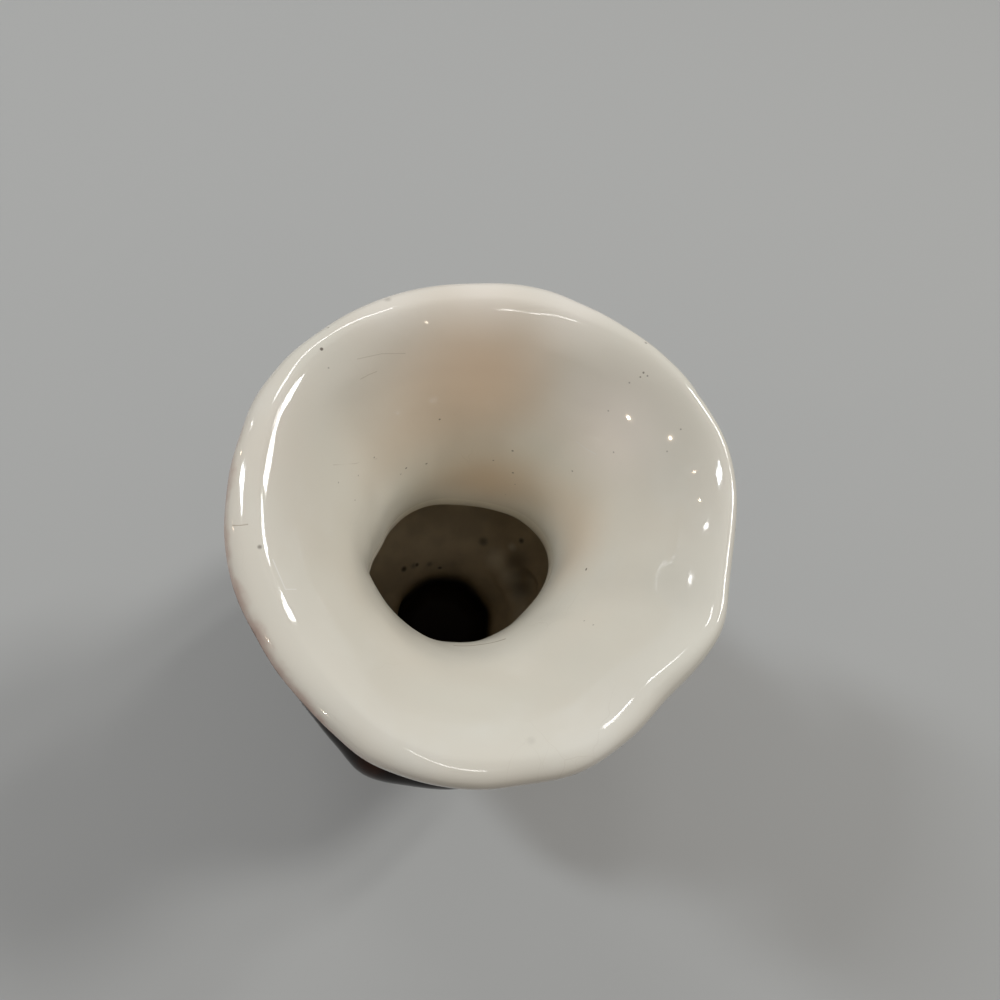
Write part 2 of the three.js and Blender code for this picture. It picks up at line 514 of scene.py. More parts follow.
def lattice_faces(rings: int, steps: int, closed: bool) -> Array:
    """Corners of the quads between neighbouring rings of a grid whose rings close on themselves.

    Formula: a quad joins points (i, j), (i, j+1), (i+1, j+1) and (i+1, j), with j taken round the ring.

    Args:
        rings: Number of rings.
        steps: Points in each ring.
        closed: Whether the last ring joins the first.

    Returns:
        Array of (quads, 4).
    """
    i = np.arange(rings if closed else rings - 1)[:, None]
    j = np.arange(steps)[None, :]
    below, above = (i % rings) * steps, ((i + 1) % rings) * steps
    after = (j + 1) % steps
    return np.stack([below + j, below + after, above + after, above + j], axis=-1).reshape(-1, 4)


def in_scene(name: str, data: bpy.types.ID) -> bpy.types.Object:
    """Makes an object and links it to the scene.

    Args:
        name: The object's name.
        data: What it shows: a mesh, a lamp's or a camera's data.

    Returns:
        The new object.
    """
    item = bpy.data.objects.new(name, data)
    bpy.context.scene.collection.objects.link(item)
    return item


@dataclass
class Section:
    """A section of the vase: a closed profile carried round the axis.

    Attributes:
        form: The shape that all sections share.
        step: Longest distance between the profile's points.
    """

    form: VaseForm
    step: float = 0.0006
    node: ClassVar[str] = ""
    slot: ClassVar[str] = ""

    def runs(self) -> list[Run]:
        """The runs of the profile."""
        raise NotImplementedError

    def relief(self, profile: Profile, height: Array, angle: Array) -> Array | float:
        """Outward push of cast relief. A plain section has none."""
        return 0.0

    def coats(self, profile: Profile, height: Array, angle: Array) -> dict[str, Array]:
        """Values at the surface's points that the finishes read, by name, to be spread over the grid."""
        return {}

    def build(self) -> bpy.types.Object:
        """Makes the section's mesh and its object, riding on the vase and standing for its CAD node.

        Returns:
            The new object.
        """
        profile = Profile(self.runs(), self.step)
        angle = (np.arange(AZIMUTH_STEPS) * 2 * np.pi / AZIMUTH_STEPS)[None, :]
        radius, height = profile.points[:, :1], profile.points[:, 1:]
        points = self.form.surface(radius, height, angle, self.relief(profile, height, angle))
        coats = self.coats(profile, height, angle)
        mesh = self._mesh(profile, points, coats)
        piece = in_scene(f"{self.node}_glazed", mesh)
        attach(piece, BODY)
        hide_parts(self.node)
        log.info("%s: %d faces, %d profile points", piece.name, len(mesh.polygons), len(profile.points))
        return piece

    def _mesh(self, profile: Profile, points: Array, coats: dict[str, Array]) -> bpy.types.Mesh:
        """Turns the grid of points into a closed mesh.

        Args:
            profile: The profile that the grid's rings follow.
            points: Array of (rings, steps, 3).
            coats: Values at the points, each (rings, steps), (rings, 1) or (1, steps).

        Returns:
            The mesh, smooth except at the profile's corners.
        """
        poled = profile.has_poles
        ringed, poles = (slice(1, -1), [0, -1]) if poled else (slice(None), [])
        rings = points[ringed]
        vertices = np.concatenate([rings.reshape(-1, 3), points[poles, 0]])
        faces = lattice_faces(len(rings), AZIMUTH_STEPS, closed=not poled).tolist()
        if poled:
            faces += self._fan(0, len(vertices) - 2, upward=False)
            faces += self._fan((len(rings) - 1) * AZIMUTH_STEPS, len(vertices) - 1, upward=True)
        mesh = bpy.data.meshes.new(self.node)
        mesh.from_pydata(vertices.tolist(), [], faces)
        mesh.polygons.foreach_set("use_smooth", np.ones(len(mesh.polygons), bool))
        self._sharpen(mesh, profile.corners - poled)
        for name, grid in coats.items():
            attribute = mesh.attributes.new(name, "FLOAT", "POINT")
            grid = np.broadcast_to(grid, points.shape[:2])
            value = np.concatenate([grid[ringed].ravel(), grid[poles, 0]])
            attribute.data.foreach_set("value", value.astype(np.float32))
        mesh.update()
        return mesh

    @staticmethod
    def _fan(first: int, pole: int, upward: bool) -> list[list[int]]:
        """Triangles that close a ring to a point on the axis.

        Args:
            first: Index of the ring's first vertex.
            pole: Index of the vertex on the axis.
            upward: Whether the grid reaches this ring last.

        Returns:
            Triangles as lists of three indices.
        """
        here = first + np.arange(AZIMUTH_STEPS)
        after = first + (np.arange(AZIMUTH_STEPS) + 1) % AZIMUTH_STEPS
        middle = np.full(AZIMUTH_STEPS, pole)
        order = [here, after, middle] if upward else [after, here, middle]
        return np.stack(order, axis=-1).tolist()

    @staticmethod
    def _sharpen(mesh: bpy.types.Mesh, corners: Array) -> None:
        """Marks the edges along the profile's corners as sharp, so that the joints stay crisp.

        Args:
            mesh: The mesh, whose vertices run ring by ring.
            corners: Indices of the rings that are corners.
        """
        ends = np.empty(len(mesh.edges) * 2, np.int64)
        mesh.edges.foreach_get("vertices", ends)
        rings = (ends // AZIMUTH_STEPS).reshape(-1, 2)
        sharp = (rings[:, 0] == rings[:, 1]) & np.isin(rings[:, 0], corners)
        attribute = mesh.attributes.new("sharp_edge", "BOOLEAN", "EDGE")
        attribute.data.foreach_set("value", sharp)


@dataclass(frozen=True)
class GlazeLine:
    """The wavy line where the cream glaze ends below the lip and the dark glaze begins.

    Attributes:
        drop: How far the line's middle lies below the seat of the lip, or above it where negative.
        blend: Height over which one glaze runs into the other.
        waves: Its rises and falls round the vase.
    """

    drop: float = -0.0004
    blend: float = 0.0038
    waves: Forms = (
        Swell(0.0009, 1, 228), Rise(-0.0018, 288, 110), Swell(0.0003, 3, 200), Swell(0.0002, 7, 20),
        Swell(0.0001, 13, 71),
    )

    def darkness(self, form: VaseForm, height: Array, angle: Array) -> Array:
        """0 in the cream glaze above the line, 1 in the dark glaze below it, smooth between them."""
        line = form.seat - self.drop + pushed(self.waves, angle)
        return np.clip((line + self.blend / 2 - height) / self.blend, 0.0, 1.0)


def ridges(form: VaseForm, height: Array, angle: Array) -> Array:
    """How near a corner the wall is: the polygon's ratio over a corner's, cubed, times the panels' share."""
    ratio = form.panel_ratio(angle) - 1.0
    return (ratio / ratio.max()) ** 3 * form.panels(height)


@dataclass
class FootRing(Section):
    """The turned ring of bare clay that the vase stands on, with its lower edges rounded.

    Attributes:
        edge_round: Radius of the two lower edges.
    """

    step: float = 0.0005
    edge_round: float = 0.0008
    node: ClassVar[str] = "foot_ring"
    slot: ClassVar[str] = "bare_clay"

    def runs(self) -> list[Run]:
        """The outer wall, the joint to the foot, and the inner wall with the underside."""
        inner, outer = self.form.ring_inner, self.form.ring_radius
        top, edge = self.form.ring_top, self.edge_round
        quarter = np.linspace(0.0, np.pi / 2, EDGE_SAMPLES)[:, None]
        rise, reach = np.cos(quarter), np.sin(quarter)
        outer_edge = np.hstack([outer - edge + edge * reach, edge - edge * rise])
        inner_edge = np.hstack([inner + edge - edge * reach, edge - edge * rise])
        wall = np.vstack([outer_edge, straight((outer, top))])
        under = np.vstack([straight((inner, top)), inner_edge[::-1], straight((outer - edge, 0.0))])
        return [
            Run(Face.OUTSIDE, wall),
            Run(Face.JOINT, straight((outer, top), (inner, top))),
            Run(Face.UNDERSIDE, under),
        ]


@dataclass
class PedestalFoot(Section):
    """The spreading foot with its hollow stem, its recess below and the vase's floor inside."""

    recess_depth: float = 0.0065
    recess_radius: float = 0.012
    edge_height: float = 0.005
    edge_set: float = 0.0014
    foot_sweep: float = 0.005
    stem_reach: float = 0.010
    floor_thickness: float = 0.004
    well_corner: float = 0.005
    recess_bareness: float = 0.35
    bare_height: float = 0.0009
    bare_waves: Forms = (Swell(0.0004, 3, 80), Swell(0.00025, 8, 10), Swell(0.0002, 17, 140))
    node: ClassVar[str] = "pedestal_foot"
    slot: ClassVar[str] = "dark_glaze"

    def runs(self) -> list[Run]:
        """The recess, the joint to the ring, the foot's flank, the joint to the body and the well."""
        form = self.form
        low = form.ring_top
        recess_level = low + self.recess_depth
        edge_top = low + self.edge_height
        edge_inner = form.foot_radius - self.edge_set
        edge_outer = form.foot_radius + self.edge_set / 3
        stem_inner = form.waist_radius - form.wall
        floor_level = recess_level + self.floor_thickness
        corner = (form.ring_inner, recess_level)
        recess = bezier((self.recess_radius, recess_level), corner, corner, (form.ring_inner, low))
        edge = bezier((edge_inner, low), (edge_outer, low), (edge_outer, edge_top), (edge_inner, edge_top))
        flank = bezier(
            (edge_inner, edge_top),
            (edge_inner - self.foot_sweep, edge_top + self.foot_sweep),
            (form.waist_radius, form.waist - self.stem_reach),
            (form.waist_radius, form.waist),
        )
        well = bezier(
            (stem_inner, floor_level + self.well_corner),
            (stem_inner, floor_level + self.well_corner / 2),
            (stem_inner - self.well_corner / 2, floor_level),
            (stem_inner - self.well_corner, floor_level),
        )
        inside = [straight((stem_inner, form.waist)), well, straight((0.0, floor_level))]
        return [
            Run(Face.UNDERSIDE, np.vstack([straight((0.0, recess_level)), recess])),
            Run(Face.JOINT, straight((form.ring_inner, low), (edge_inner, low))),
            Run(Face.OUTSIDE, np.vstack([edge, flank[1:]])),
            Run(Face.JOINT, straight((form.waist_radius, form.waist), (stem_inner, form.waist))),
            Run(Face.INSIDE, np.vstack(inside)),
        ]

    def coats(self, profile: Profile, height: Array, angle: Array) -> dict[str, Array]:
        """Dark outside and cream inside, with a bare line at the lower edge and thin glaze in the recess.

        Args:
            profile: The section's profile.
            height: Heights of its points, (points, 1).
            angle: Angles in radians, (1, steps).

        Returns:
            The values dark, ridge and bare.
        """
        line = self.form.ring_top + self.bare_height + pushed(self.bare_waves, angle)
        bare = smooth(height, line + self.bare_height / 3, line - self.bare_height / 3)
        outside, under = 1.0 - profile.inside, profile.underside
        return {
            "dark": outside,
            "ridge": ridges(self.form, height, angle),
            "bare": bare * outside * (1.0 - under) + under * self.recess_bareness,
        }


@dataclass
class PanelledBody(Section):
    """The eight-sided belly between the waist and the throat."""

    waist_reach: float = 0.008
    belly_reach: float = 0.018
    shoulder_reach: float = 0.011
    neck_reach: float = 0.008
    step: float = 0.0008
    ledge: Rise = Rise(-0.0012, 32, 70)
    ledge_height: float = 0.0085
    pocket: Rise = Rise(0.0022, 26, 32)
    pocket_height: float = 0.0115
    relief_band: float = 0.004
    node: ClassVar[str] = "panelled_body"
    slot: ClassVar[str] = "dark_glaze"

    def runs(self) -> list[Run]:
        """The outside, the joint to the trumpet, the inside and the joint to the foot."""
        form = self.form
        lower = bezier(
            (form.waist_radius, form.waist),
            (form.waist_radius, form.waist + self.waist_reach),
            (form.belly_radius, form.belly - self.belly_reach),
            (form.belly_radius, form.belly),
        )
        upper = bezier(
            (form.belly_radius, form.belly),
            (form.belly_radius, form.belly + self.shoulder_reach),
            (form.neck_radius, form.throat - self.neck_reach),
            (form.neck_radius, form.throat),
        )
        outside = np.vstack([lower, upper[1:]])
        inside = np.vstack([inner_face(lower, form.wall), inner_face(upper, form.wall)[1:]])[::-1]
        return [
            Run(Face.OUTSIDE, outside),
            Run(Face.JOINT, np.vstack([outside[-1:], inside[:1]])),
            Run(Face.INSIDE, inside),
            Run(Face.JOINT, np.vstack([inside[-1:], outside[:1]])),
        ]

    def relief(self, profile: Profile, height: Array, angle: Array) -> Array:
        """A low ledge round part of the floor inside, with a pocket behind it.

        Formula: the outward pushes of the pocket and the ledge, each times a raised cosine in height.

        Args:
            profile: The section's profile.
            height: Heights of its points, (points, 1).
            angle: Angles in radians, (1, steps).

        Returns:
            Array of (points, steps).
        """
        above = height - self.form.waist
        ledge = bump(above - self.ledge_height, self.relief_band) * self.ledge.push(angle)
        pocket = bump(above - self.pocket_height, self.relief_band) * self.pocket.push(angle)
        return profile.inside * (pocket + ledge)

    def coats(self, profile: Profile, height: Array, angle: Array) -> dict[str, Array]:
        """Dark outside and cream inside, with the panels' corners."""
        return {"dark": 1.0 - profile.inside, "ridge": ridges(self.form, height, angle)}


@dataclass
class TrumpetMouth(Section):
    """The funnel from the throat to the seat of the lip."""

    throat_reach: float = 0.017
    glaze_line: GlazeLine = GlazeLine()
    node: ClassVar[str] = "trumpet_mouth"
    slot: ClassVar[str] = "cream_glaze"

    def runs(self) -> list[Run]:
        """The outside, the joint to the lip, the inside and the joint to the body."""
        form = self.form
        throat_inner = form.neck_radius - form.wall
        outside = bezier(
            (form.neck_radius, form.throat),
            (form.neck_radius, form.throat + self.throat_reach),
            (form.seat_outer - form.flare_lean, form.seat - form.flare_reach - form.wall / 2),
            (form.seat_outer, form.seat),
        )
        inside = bezier(
            (form.seat_inner, form.seat),
            (form.seat_inner - form.flare_lean, form.seat - form.flare_reach),
            (throat_inner, form.throat + self.throat_reach),
            (throat_inner, form.throat),
        )
        return [
            Run(Face.OUTSIDE, outside),
            Run(Face.JOINT, straight((form.seat_outer, form.seat), (form.seat_inner, form.seat))),
            Run(Face.INSIDE, inside),
            Run(Face.JOINT, straight((throat_inner, form.throat), (form.neck_radius, form.throat))),
        ]

    def coats(self, profile: Profile, height: Array, angle: Array) -> dict[str, Array]:
        """Cream inside, and dark outside below the glaze line."""
        dark = (1.0 - profile.inside) * self.glaze_line.darkness(self.form, height, angle)
        return {"dark": dark, "ridge": ridges(self.form, height, angle)}


@dataclass
class LipCoil(Section):
    """The coil of clay that is smoothed over the mouth and rolled outwards.

    Attributes:
        dark_inset: Where the dark glaze is whole, inside the mouth's radius, as a share of the crest's inset.
    """

    dark_inset: float = 0.3
    edge_drop: float = 0.0027
    lip_reach: float = 0.0024
    roll_reach: float = 0.0009
    crest_reach: float = 0.0019
    edge_reach: float = 0.0016
    step: float = 0.00025
    glaze_line: GlazeLine = GlazeLine()
    node: ClassVar[str] = "lip_coil"
    slot: ClassVar[str] = "cream_glaze"

    def runs(self) -> list[Run]:
        """The rolled surface from the outer seat over the crest to the inner seat, and the joint below."""
        form = self.form
        edge_level = form.top - self.edge_drop
        crest = form.mouth_radius - form.crest_inset
        slope = self.lip_reach / form.flare_reach
        under = bezier(
            (form.seat_outer, form.seat),
            (form.mouth_radius, form.seat),
            (form.mouth_radius, edge_level - self.edge_reach / 2),
            (form.mouth_radius, edge_level),
        )
        over = bezier(
            (form.mouth_radius, edge_level),
            (form.mouth_radius, edge_level + self.edge_reach),
            (crest + self.crest_reach, form.top),
            (crest, form.top),
        )
        inside = bezier(
            (crest, form.top),
            (crest - self.roll_reach, form.top),
            (form.seat_inner + form.flare_lean * slope, form.seat + self.lip_reach),
            (form.seat_inner, form.seat),
        )
        return [
            Run(Face.OUTSIDE, np.vstack([under, over[1:], inside[1:]])),
            Run(Face.JOINT, straight((form.seat_inner, form.seat), (form.seat_outer, form.seat))),
        ]

    def coats(self, profile: Profile, height: Array, angle: Array) -> dict[str, Array]:
        """Cream over the crest, running into the dark glaze under the outer edge.

        Args:
            profile: The section's profile.
            height: Heights of its points, (points, 1).
            angle: Angles in radians, (1, steps).

        Returns:
            The value dark.
        """
        mouth, inset = self.form.mouth_radius, self.form.crest_inset
        outer = smooth(profile.points[:, :1], mouth - inset, mouth - inset * self.dark_inset)
        return {"dark": outer * self.glaze_line.darkness(self.form, height, angle)}


def on_wall(form: VaseForm, azimuth: float, radius: float, height: float) -> Point:
    """The point of the funnel's or the lip's finished surface nearest to a place.

    Args:
        form: The vase.
        azimuth: Azimuth of the place.
        radius: Its distance from the axis.
        height: Its height.

    Returns:
        The point, in the vase's frame.
    """
    funnel = TrumpetMouth(form).runs()[2].points
    lip = LipCoil(form).runs()[0].points
    line = np.vstack([funnel, lip])
    angle = np.array([[math.radians(azimuth)]])
    points = form.surface(line[:, :1], line[:, 1:], angle)[:, 0]
    away = np.hypot(np.hypot(points[:, 0], points[:, 1]) - radius, points[:, 2] - height)
    return tuple(float(value) for value in points[np.argmin(away)])


@dataclass(frozen=True)
class Spot:
    """A round mark in the glaze: a pinhole, an iron speck, a smudge or a stain, or a wide soft patch of
    painted light, painted shade or painted highlight.

    Attributes:
        azimuth: Where it lies round the vase.
        radius: Distance from the axis.
        height: Height above the table.
        size: Diameter.
        strength: How strongly it shows, from 0 to 1.
        core: Share of its radius that has the full strength.
    """

    azimuth: float
    radius: float
    height: float
    size: float
    strength: float
    core: float = 0.45

    @property
    def place(self) -> Point:
        """Its azimuth, radius and height."""
        return self.azimuth, self.radius, self.height

    @property
    def centre(self) -> Point:
        """Its middle, in the vase's frame."""
        turn = math.radians(self.azimuth)
        return self.radius * math.cos(turn), self.radius * math.sin(turn), self.height


def spots(*rows: tuple[float, ...]) -> tuple[Spot, ...]:
    """Spots from rows of azimuth, then radius, height and size in millimetres, then strength and core."""
    return tuple(Spot(row[0], *(length / 1000 for length in row[1:4]), *row[4:]) for row in rows)


@dataclass(frozen=True)
class Line:
    """A hairline craze or scratch through places on the funnel, each (azimuth, radius, height)."""

    places: tuple[Point, ...]
    width: float
    strength: float


@dataclass(frozen=True)
class Cloud:
    """Soft noise that passes smoothly from start to end where its value goes from low to high.

    Attributes:
        scale: Noise cells in a metre.
        detail: Octaves of finer noise.
    """

    scale: float
    detail: float
    low: float
    high: float
    start: float = 0.0
    end: float = 1.0


@dataclass(frozen=True)
class Scatter:
    """Specks or crazing that are scattered over the whole surface.

    Attributes:
        scale: Cells in a metre, that hold a speck or lie between cracks.
        width: Width of a crack, or radius of a speck before chance varies it, as a share of a cell.
        cover: Share of the cells, or of the surface, that has them.
        strength: How strongly they show.
    """

    scale: float
    width: float
    cover: float
    strength: float


class Tree:
    """A node tree that is being built, with short ways to add the nodes that the finishes use."""

    def __init__(self, tree: NodeTree) -> None:
        """Takes over a material's node tree or a node group, and empties it."""
        self.tree = tree
        self.tree.nodes.clear()

    def add(self, kind: str, inputs: dict[str | int, object] | None = None, **settings: object) -> Node:
        """Adds a node.

        Args:
            kind: The node's type name, without its ShaderNode prefix.
            inputs: Values or sockets for its inputs, by name or index.
            **settings: Properties of the node.

        Returns:
            The node.
        """
        prefix = "" if kind.startswith("Node") else "ShaderNode"
        node = self.tree.nodes.new(prefix + kind)
        for name, value in settings.items():
            setattr(node, name, value)
        for name, value in (inputs or {}).items():
            self.feed(node.inputs[name], value)
        return node

    def feed(self, socket: Socket, value: object) -> None:
        """Links a socket to an input, or writes a constant on it.

        Args:
            socket: The input.
            value: A socket or a constant. A colour may leave out its fourth value.
        """
        if isinstance(value, bpy.types.NodeSocket):
            self.tree.links.new(value, socket)
        elif isinstance(value, tuple) and len(value) == 3 and socket.type == "RGBA":
            socket.default_value = (*value, 1.0)
        else:
            socket.default_value = value

    def math(self, operation: str, *values: object, clamp: bool = False) -> Socket:
        """A Math node's result for its values."""
        return self.add("Math", dict(enumerate(values)), operation=operation, use_clamp=clamp).outputs[0]

    def times(self, first: object, second: object) -> Socket:
        """The product of two values."""
        return self.math("MULTIPLY", first, second)

    def strongest(self, masks: Sequence[Socket]) -> Socket:
        """The greatest of one or more masks."""
        return reduce(lambda most, mask: self.math("MAXIMUM", most, mask), masks)

    def vector(self, operation: str, first: object, second: object = None, output: str = "Vector") -> Socket:
        """A Vector Math node's result.

        Args:
            operation: What the node works out.
            first: Its first vector.
            second: Its second vector where it has one, or to scale, a number.
            output: The output that is read.

        Returns:
            The output.
        """
        inputs = {0: first, "Scale" if operation == "SCALE" else 1: second}
        if second is None:
            inputs = {0: first}
        return self.add("VectorMath", inputs, operation=operation).outputs[output]

    def between(
        self, value: Socket, low: float, high: object, start: float = 0.0, end: float = 1.0
    ) -> Socket:
        """Maps a value smoothly from low..high to start..end, level beyond them."""
        places = {"Value": value, "From Min": low, "From Max": high, "To Min": start, "To Max": end}
        return self.add("MapRange", places, interpolation_type="SMOOTHSTEP").outputs[0]

    def mix(self, share: object, first: object, second: object) -> Socket:
        """A colour that is first at share 0 and second at share 1."""
        return self.add("Mix", data_type="RGBA", inputs={0: share, 6: first, 7: second}).outputs[2]

    def blend(self, share: object, first: object, second: object) -> Socket:
        """A value that is first at share 0 and second at share 1."""
        return self.add("Mix", data_type="FLOAT", inputs={0: share, 2: first, 3: second}).outputs[0]

    def noise(self, place: Socket, scale: object, detail: float = 2.0, rough: float = 0.5) -> Socket:
        """A noise value between 0 and 1 at a place in the vase."""
        inputs = {"Vector": place, "Scale": scale, "Detail": detail, "Roughness": rough}
        return self.add("TexNoise", inputs).outputs["Fac"]

    def cloud(self, place: Socket, cloud: Cloud) -> Socket:
        """A cloud's value at a place in the vase."""
        noise = self.noise(place, cloud.scale, cloud.detail)
        return self.between(noise, cloud.low, cloud.high, cloud.start, cloud.end)

    def group(self, tree: NodeTree, inputs: dict[str, object]) -> bpy.types.NodeOutputs:
        """Places a node group with input values of its own.

        Args:
            tree: The group.
            inputs: Values or sockets for its inputs, by name.

        Returns:
            The group's outputs.
        """
        node = self.add("Group", node_tree=tree)
        for name, value in inputs.items():
            self.feed(node.inputs[name], value)
        return node.outputs


class GroupTree(Tree):
    """A shader node group with named sockets, built once and placed in each material that uses it."""

    def __init__(self, name: str, inputs: Sockets, outputs: Sockets = MASK) -> None:
        """Makes the group and its sockets.

        Args:
            name: The group's name.
            inputs: Type of each input after Place, by its name.
            outputs: Type of each output by its name.
        """
        super().__init__(bpy.data.node_groups.new(name, "ShaderNodeTree"))
        for way, sockets in (("INPUT", {"Place": VECTOR} | inputs), ("OUTPUT", outputs)):
            for socket, kind in sockets.items():
                self.tree.interface.new_socket(socket, in_out=way, socket_type=kind)
        self.given = self.add("NodeGroupInput").outputs[: len(inputs) + 1]
        self.result = self.add("NodeGroupOutput").inputs
        self.place = self.given[0]

    def put_out(self, *values: Socket) -> NodeTree:
        """Links the group's outputs.

        Args:
            *values: What each output gives, in their order.

        Returns:
            The finished group.
        """
        for socket, value in zip(self.result, values):
            self.feed(socket, value)
        return self.tree


@dataclass
class Effects:
    """The effects that more than one finish uses, each built once as a node group.

    Attributes:
        line_core: Share of a hairline's width that has the full strength, and crack_core of a crack's.
        wander_scale: Scale of the noise that makes the cracks wander.
        wander: How far they wander.
        patch_scale: Scale of the noise that leaves patches without cracks.
        patch_edge: How sharply a patch ends.
        least_speck: Share of the given radius that the smallest speck has. The largest has one more.
        speck_core: Share of a speck's radius that has the full strength.
        run_flatness: Scale of the runs' noise along the height over its scale across.
        run_detail: Octaves of the runs' noise, and run_roughness how strong the finer ones are.
    """

    line_core: float = 0.2
    crack_core: float = 0.1
    wander_scale: float = 130.0
    wander: float = 0.006
    patch_scale: float = 55.0
    patch_edge: float = 8.0
    least_speck: float = 0.35
    speck_core: float = 0.5
    run_flatness: float = 0.14
    run_detail: float = 3.0
    run_roughness: float = 0.55

    def __post_init__(self) -> None:
        """Builds every group."""
        self.spot = self._spot()
        self.hairline = self._hairline()
        self.crazing = self._crazing()
        self.specks = self._specks()
        self.runs = self._runs()

    def _spot(self) -> NodeTree:
        """A round spot: 1 within its core, a share of its radius, and fading to 0 at the radius."""
        tree = GroupTree("glaze_spot", {"Centre": VECTOR, "Radius": VALUE, "Core": VALUE})
        place, centre, radius, core = tree.given
        away = tree.vector("DISTANCE", place, centre, output="Value")
        return tree.put_out(tree.between(tree.math("DIVIDE", away, radius), 1.0, core))

    def _hairline(self) -> NodeTree:
        """A fine line between two points: 1 on the line, 0 beyond its width."""
        tree = GroupTree("glaze_hairline", {"Start": VECTOR, "End": VECTOR, "Width": VALUE})
        place, start, end, width = tree.given
        run = tree.vector("SUBTRACT", end, start)
        reach = tree.vector("SUBTRACT", place, start)
        reached = tree.vector("DOT_PRODUCT", reach, run, output="Value")
        whole = tree.vector("DOT_PRODUCT", run, run, output="Value")
        foot = tree.vector("SCALE", run, tree.math("DIVIDE", reached, whole, clamp=True))
        away = tree.vector("LENGTH", tree.vector("SUBTRACT", reach, foot), output="Value")
        return tree.put_out(tree.between(tree.math("DIVIDE", away, width), 1.0, self.line_core))

    def _crazing(self) -> NodeTree:
        """Fine cracks: the borders of wandering cells, shown only where a slow noise is high."""
        tree = GroupTree("glaze_crazing", {"Scale": VALUE, "Width": VALUE, "Cover": VALUE})
        place, scale, width, cover = tree.given
        wander = tree.add("TexNoise", {"Vector": place, "Scale": self.wander_scale})
        middle = tree.vector("SUBTRACT", wander.outputs["Color"], (0.5, 0.5, 0.5))
        moved = tree.vector("ADD", place, tree.vector("SCALE", middle, self.wander))
        cells = tree.add("TexVoronoi", {"Vector": moved, "Scale": scale}, feature="DISTANCE_TO_EDGE")
        line = tree.between(tree.math("DIVIDE", cells.outputs["Distance"], width), 1.0, self.crack_core)
        patches = tree.noise(place, self.patch_scale, 1.0)
        over = tree.math("SUBTRACT", patches, tree.math("SUBTRACT", 1.0, cover))
        return tree.put_out(tree.times(line, tree.math("MULTIPLY", over, self.patch_edge, clamp=True)))

    def _specks(self) -> NodeTree:
        """Specks: small balls round random points, of random size, in a share of the cells."""
        tree = GroupTree("scattered_specks", {"Scale": VALUE, "Width": VALUE, "Cover": VALUE})
        place, scale, width, cover = tree.given
        cells = tree.add("TexVoronoi", {"Vector": place, "Scale": scale}).outputs
        chance = tree.add("SeparateXYZ", {0: cells["Color"]}).outputs
        chosen = tree.math("LESS_THAN", chance[0], cover)
        reach = tree.times(width, tree.math("ADD", chance[1], self.least_speck))
        near = tree.between(tree.math("DIVIDE", cells["Distance"], reach), 1.0, self.speck_core)
        return tree.put_out(tree.times(near, chosen))

    def _runs(self) -> NodeTree:
        """Vertical runs of glaze: noise that is stretched along the height."""
        tree = GroupTree("glaze_runs", {"Scale": VALUE}, {"Value": VALUE})
        place, scale = tree.given
        stretched = tree.vector("MULTIPLY", place, (1.0, 1.0, self.run_flatness))
        return tree.put_out(tree.noise(stretched, scale, self.run_detail, self.run_roughness))


class LookTree(GroupTree):
    """The node group of a finish. It gives colour, roughness and height in millimetres at a place."""

    def __init__(self, name: str, effects: Effects, inputs: Sockets, outputs: Sockets) -> None:
        """Makes the group.

        Args:
            name: The group's name.
            effects: The shared effects.
            inputs: Type of each input after Place, by its name.
            outputs: Type of each output after Colour, Roughness and Height, by its name.
        """
        looks = {"Colour": "NodeSocketColor", "Roughness": VALUE, "Height": VALUE}
        super().__init__(name, inputs, looks | outputs)
        self.effects = effects

    def effect(self, group: NodeTree, strength: float, **inputs: object) -> Socket:
        """A shared effect's mask at the place, times a strength."""
        return self.times(self.group(group, {"Place": self.place} | inputs)[0], strength)

    def spot(self, spot: Spot, centre: Point | None = None) -> Socket:
        """A spot's mask times its strength, about its own middle unless another is given."""
        sizes = {"Radius": spot.size / 2, "Core": spot.core}
        return self.effect(self.effects.spot, spot.strength, Centre=centre or spot.centre, **sizes)

    def scattered(self, group: NodeTree, scatter: Scatter) -> Socket:
        """The mask of scattered specks or crazing, whichever the group makes."""
        sizes = {"Scale": scatter.scale, "Width": scatter.width, "Cover": scatter.cover}
        return self.effect(group, scatter.strength, **sizes)

    def lines(self, lines: Iterable[Line], form: VaseForm) -> list[Socket]:
        """The mask of each straight stretch of the lines, times the line's strength.

        Args:
            lines: The lines.
            form: The vase, on whose wall they lie.

        Returns:
            One socket for each stretch.
        """
        masks = []
        for line in lines:
            points = [on_wall(form, *place) for place in line.places]
            for start, end in zip(points, points[1:]):
                ends = {"Start": start, "End": end, "Width": line.width}
                masks.append(self.effect(self.effects.hairline, line.strength, **ends))
        return masks

    def unevenness(self, *layers: Pair) -> list[Socket]:
        """The height of each layer of fine noise, given by its scale and its height in millimetres."""
        return [self.times(self.noise(self.place, scale), height) for scale, height in layers]


class Zone(Enum):
    """Which stretch of the cream glaze a look is for. Each shows only the marks that lie in it."""

    MOUTH = "mouth"
    CAVERN = "cavern"


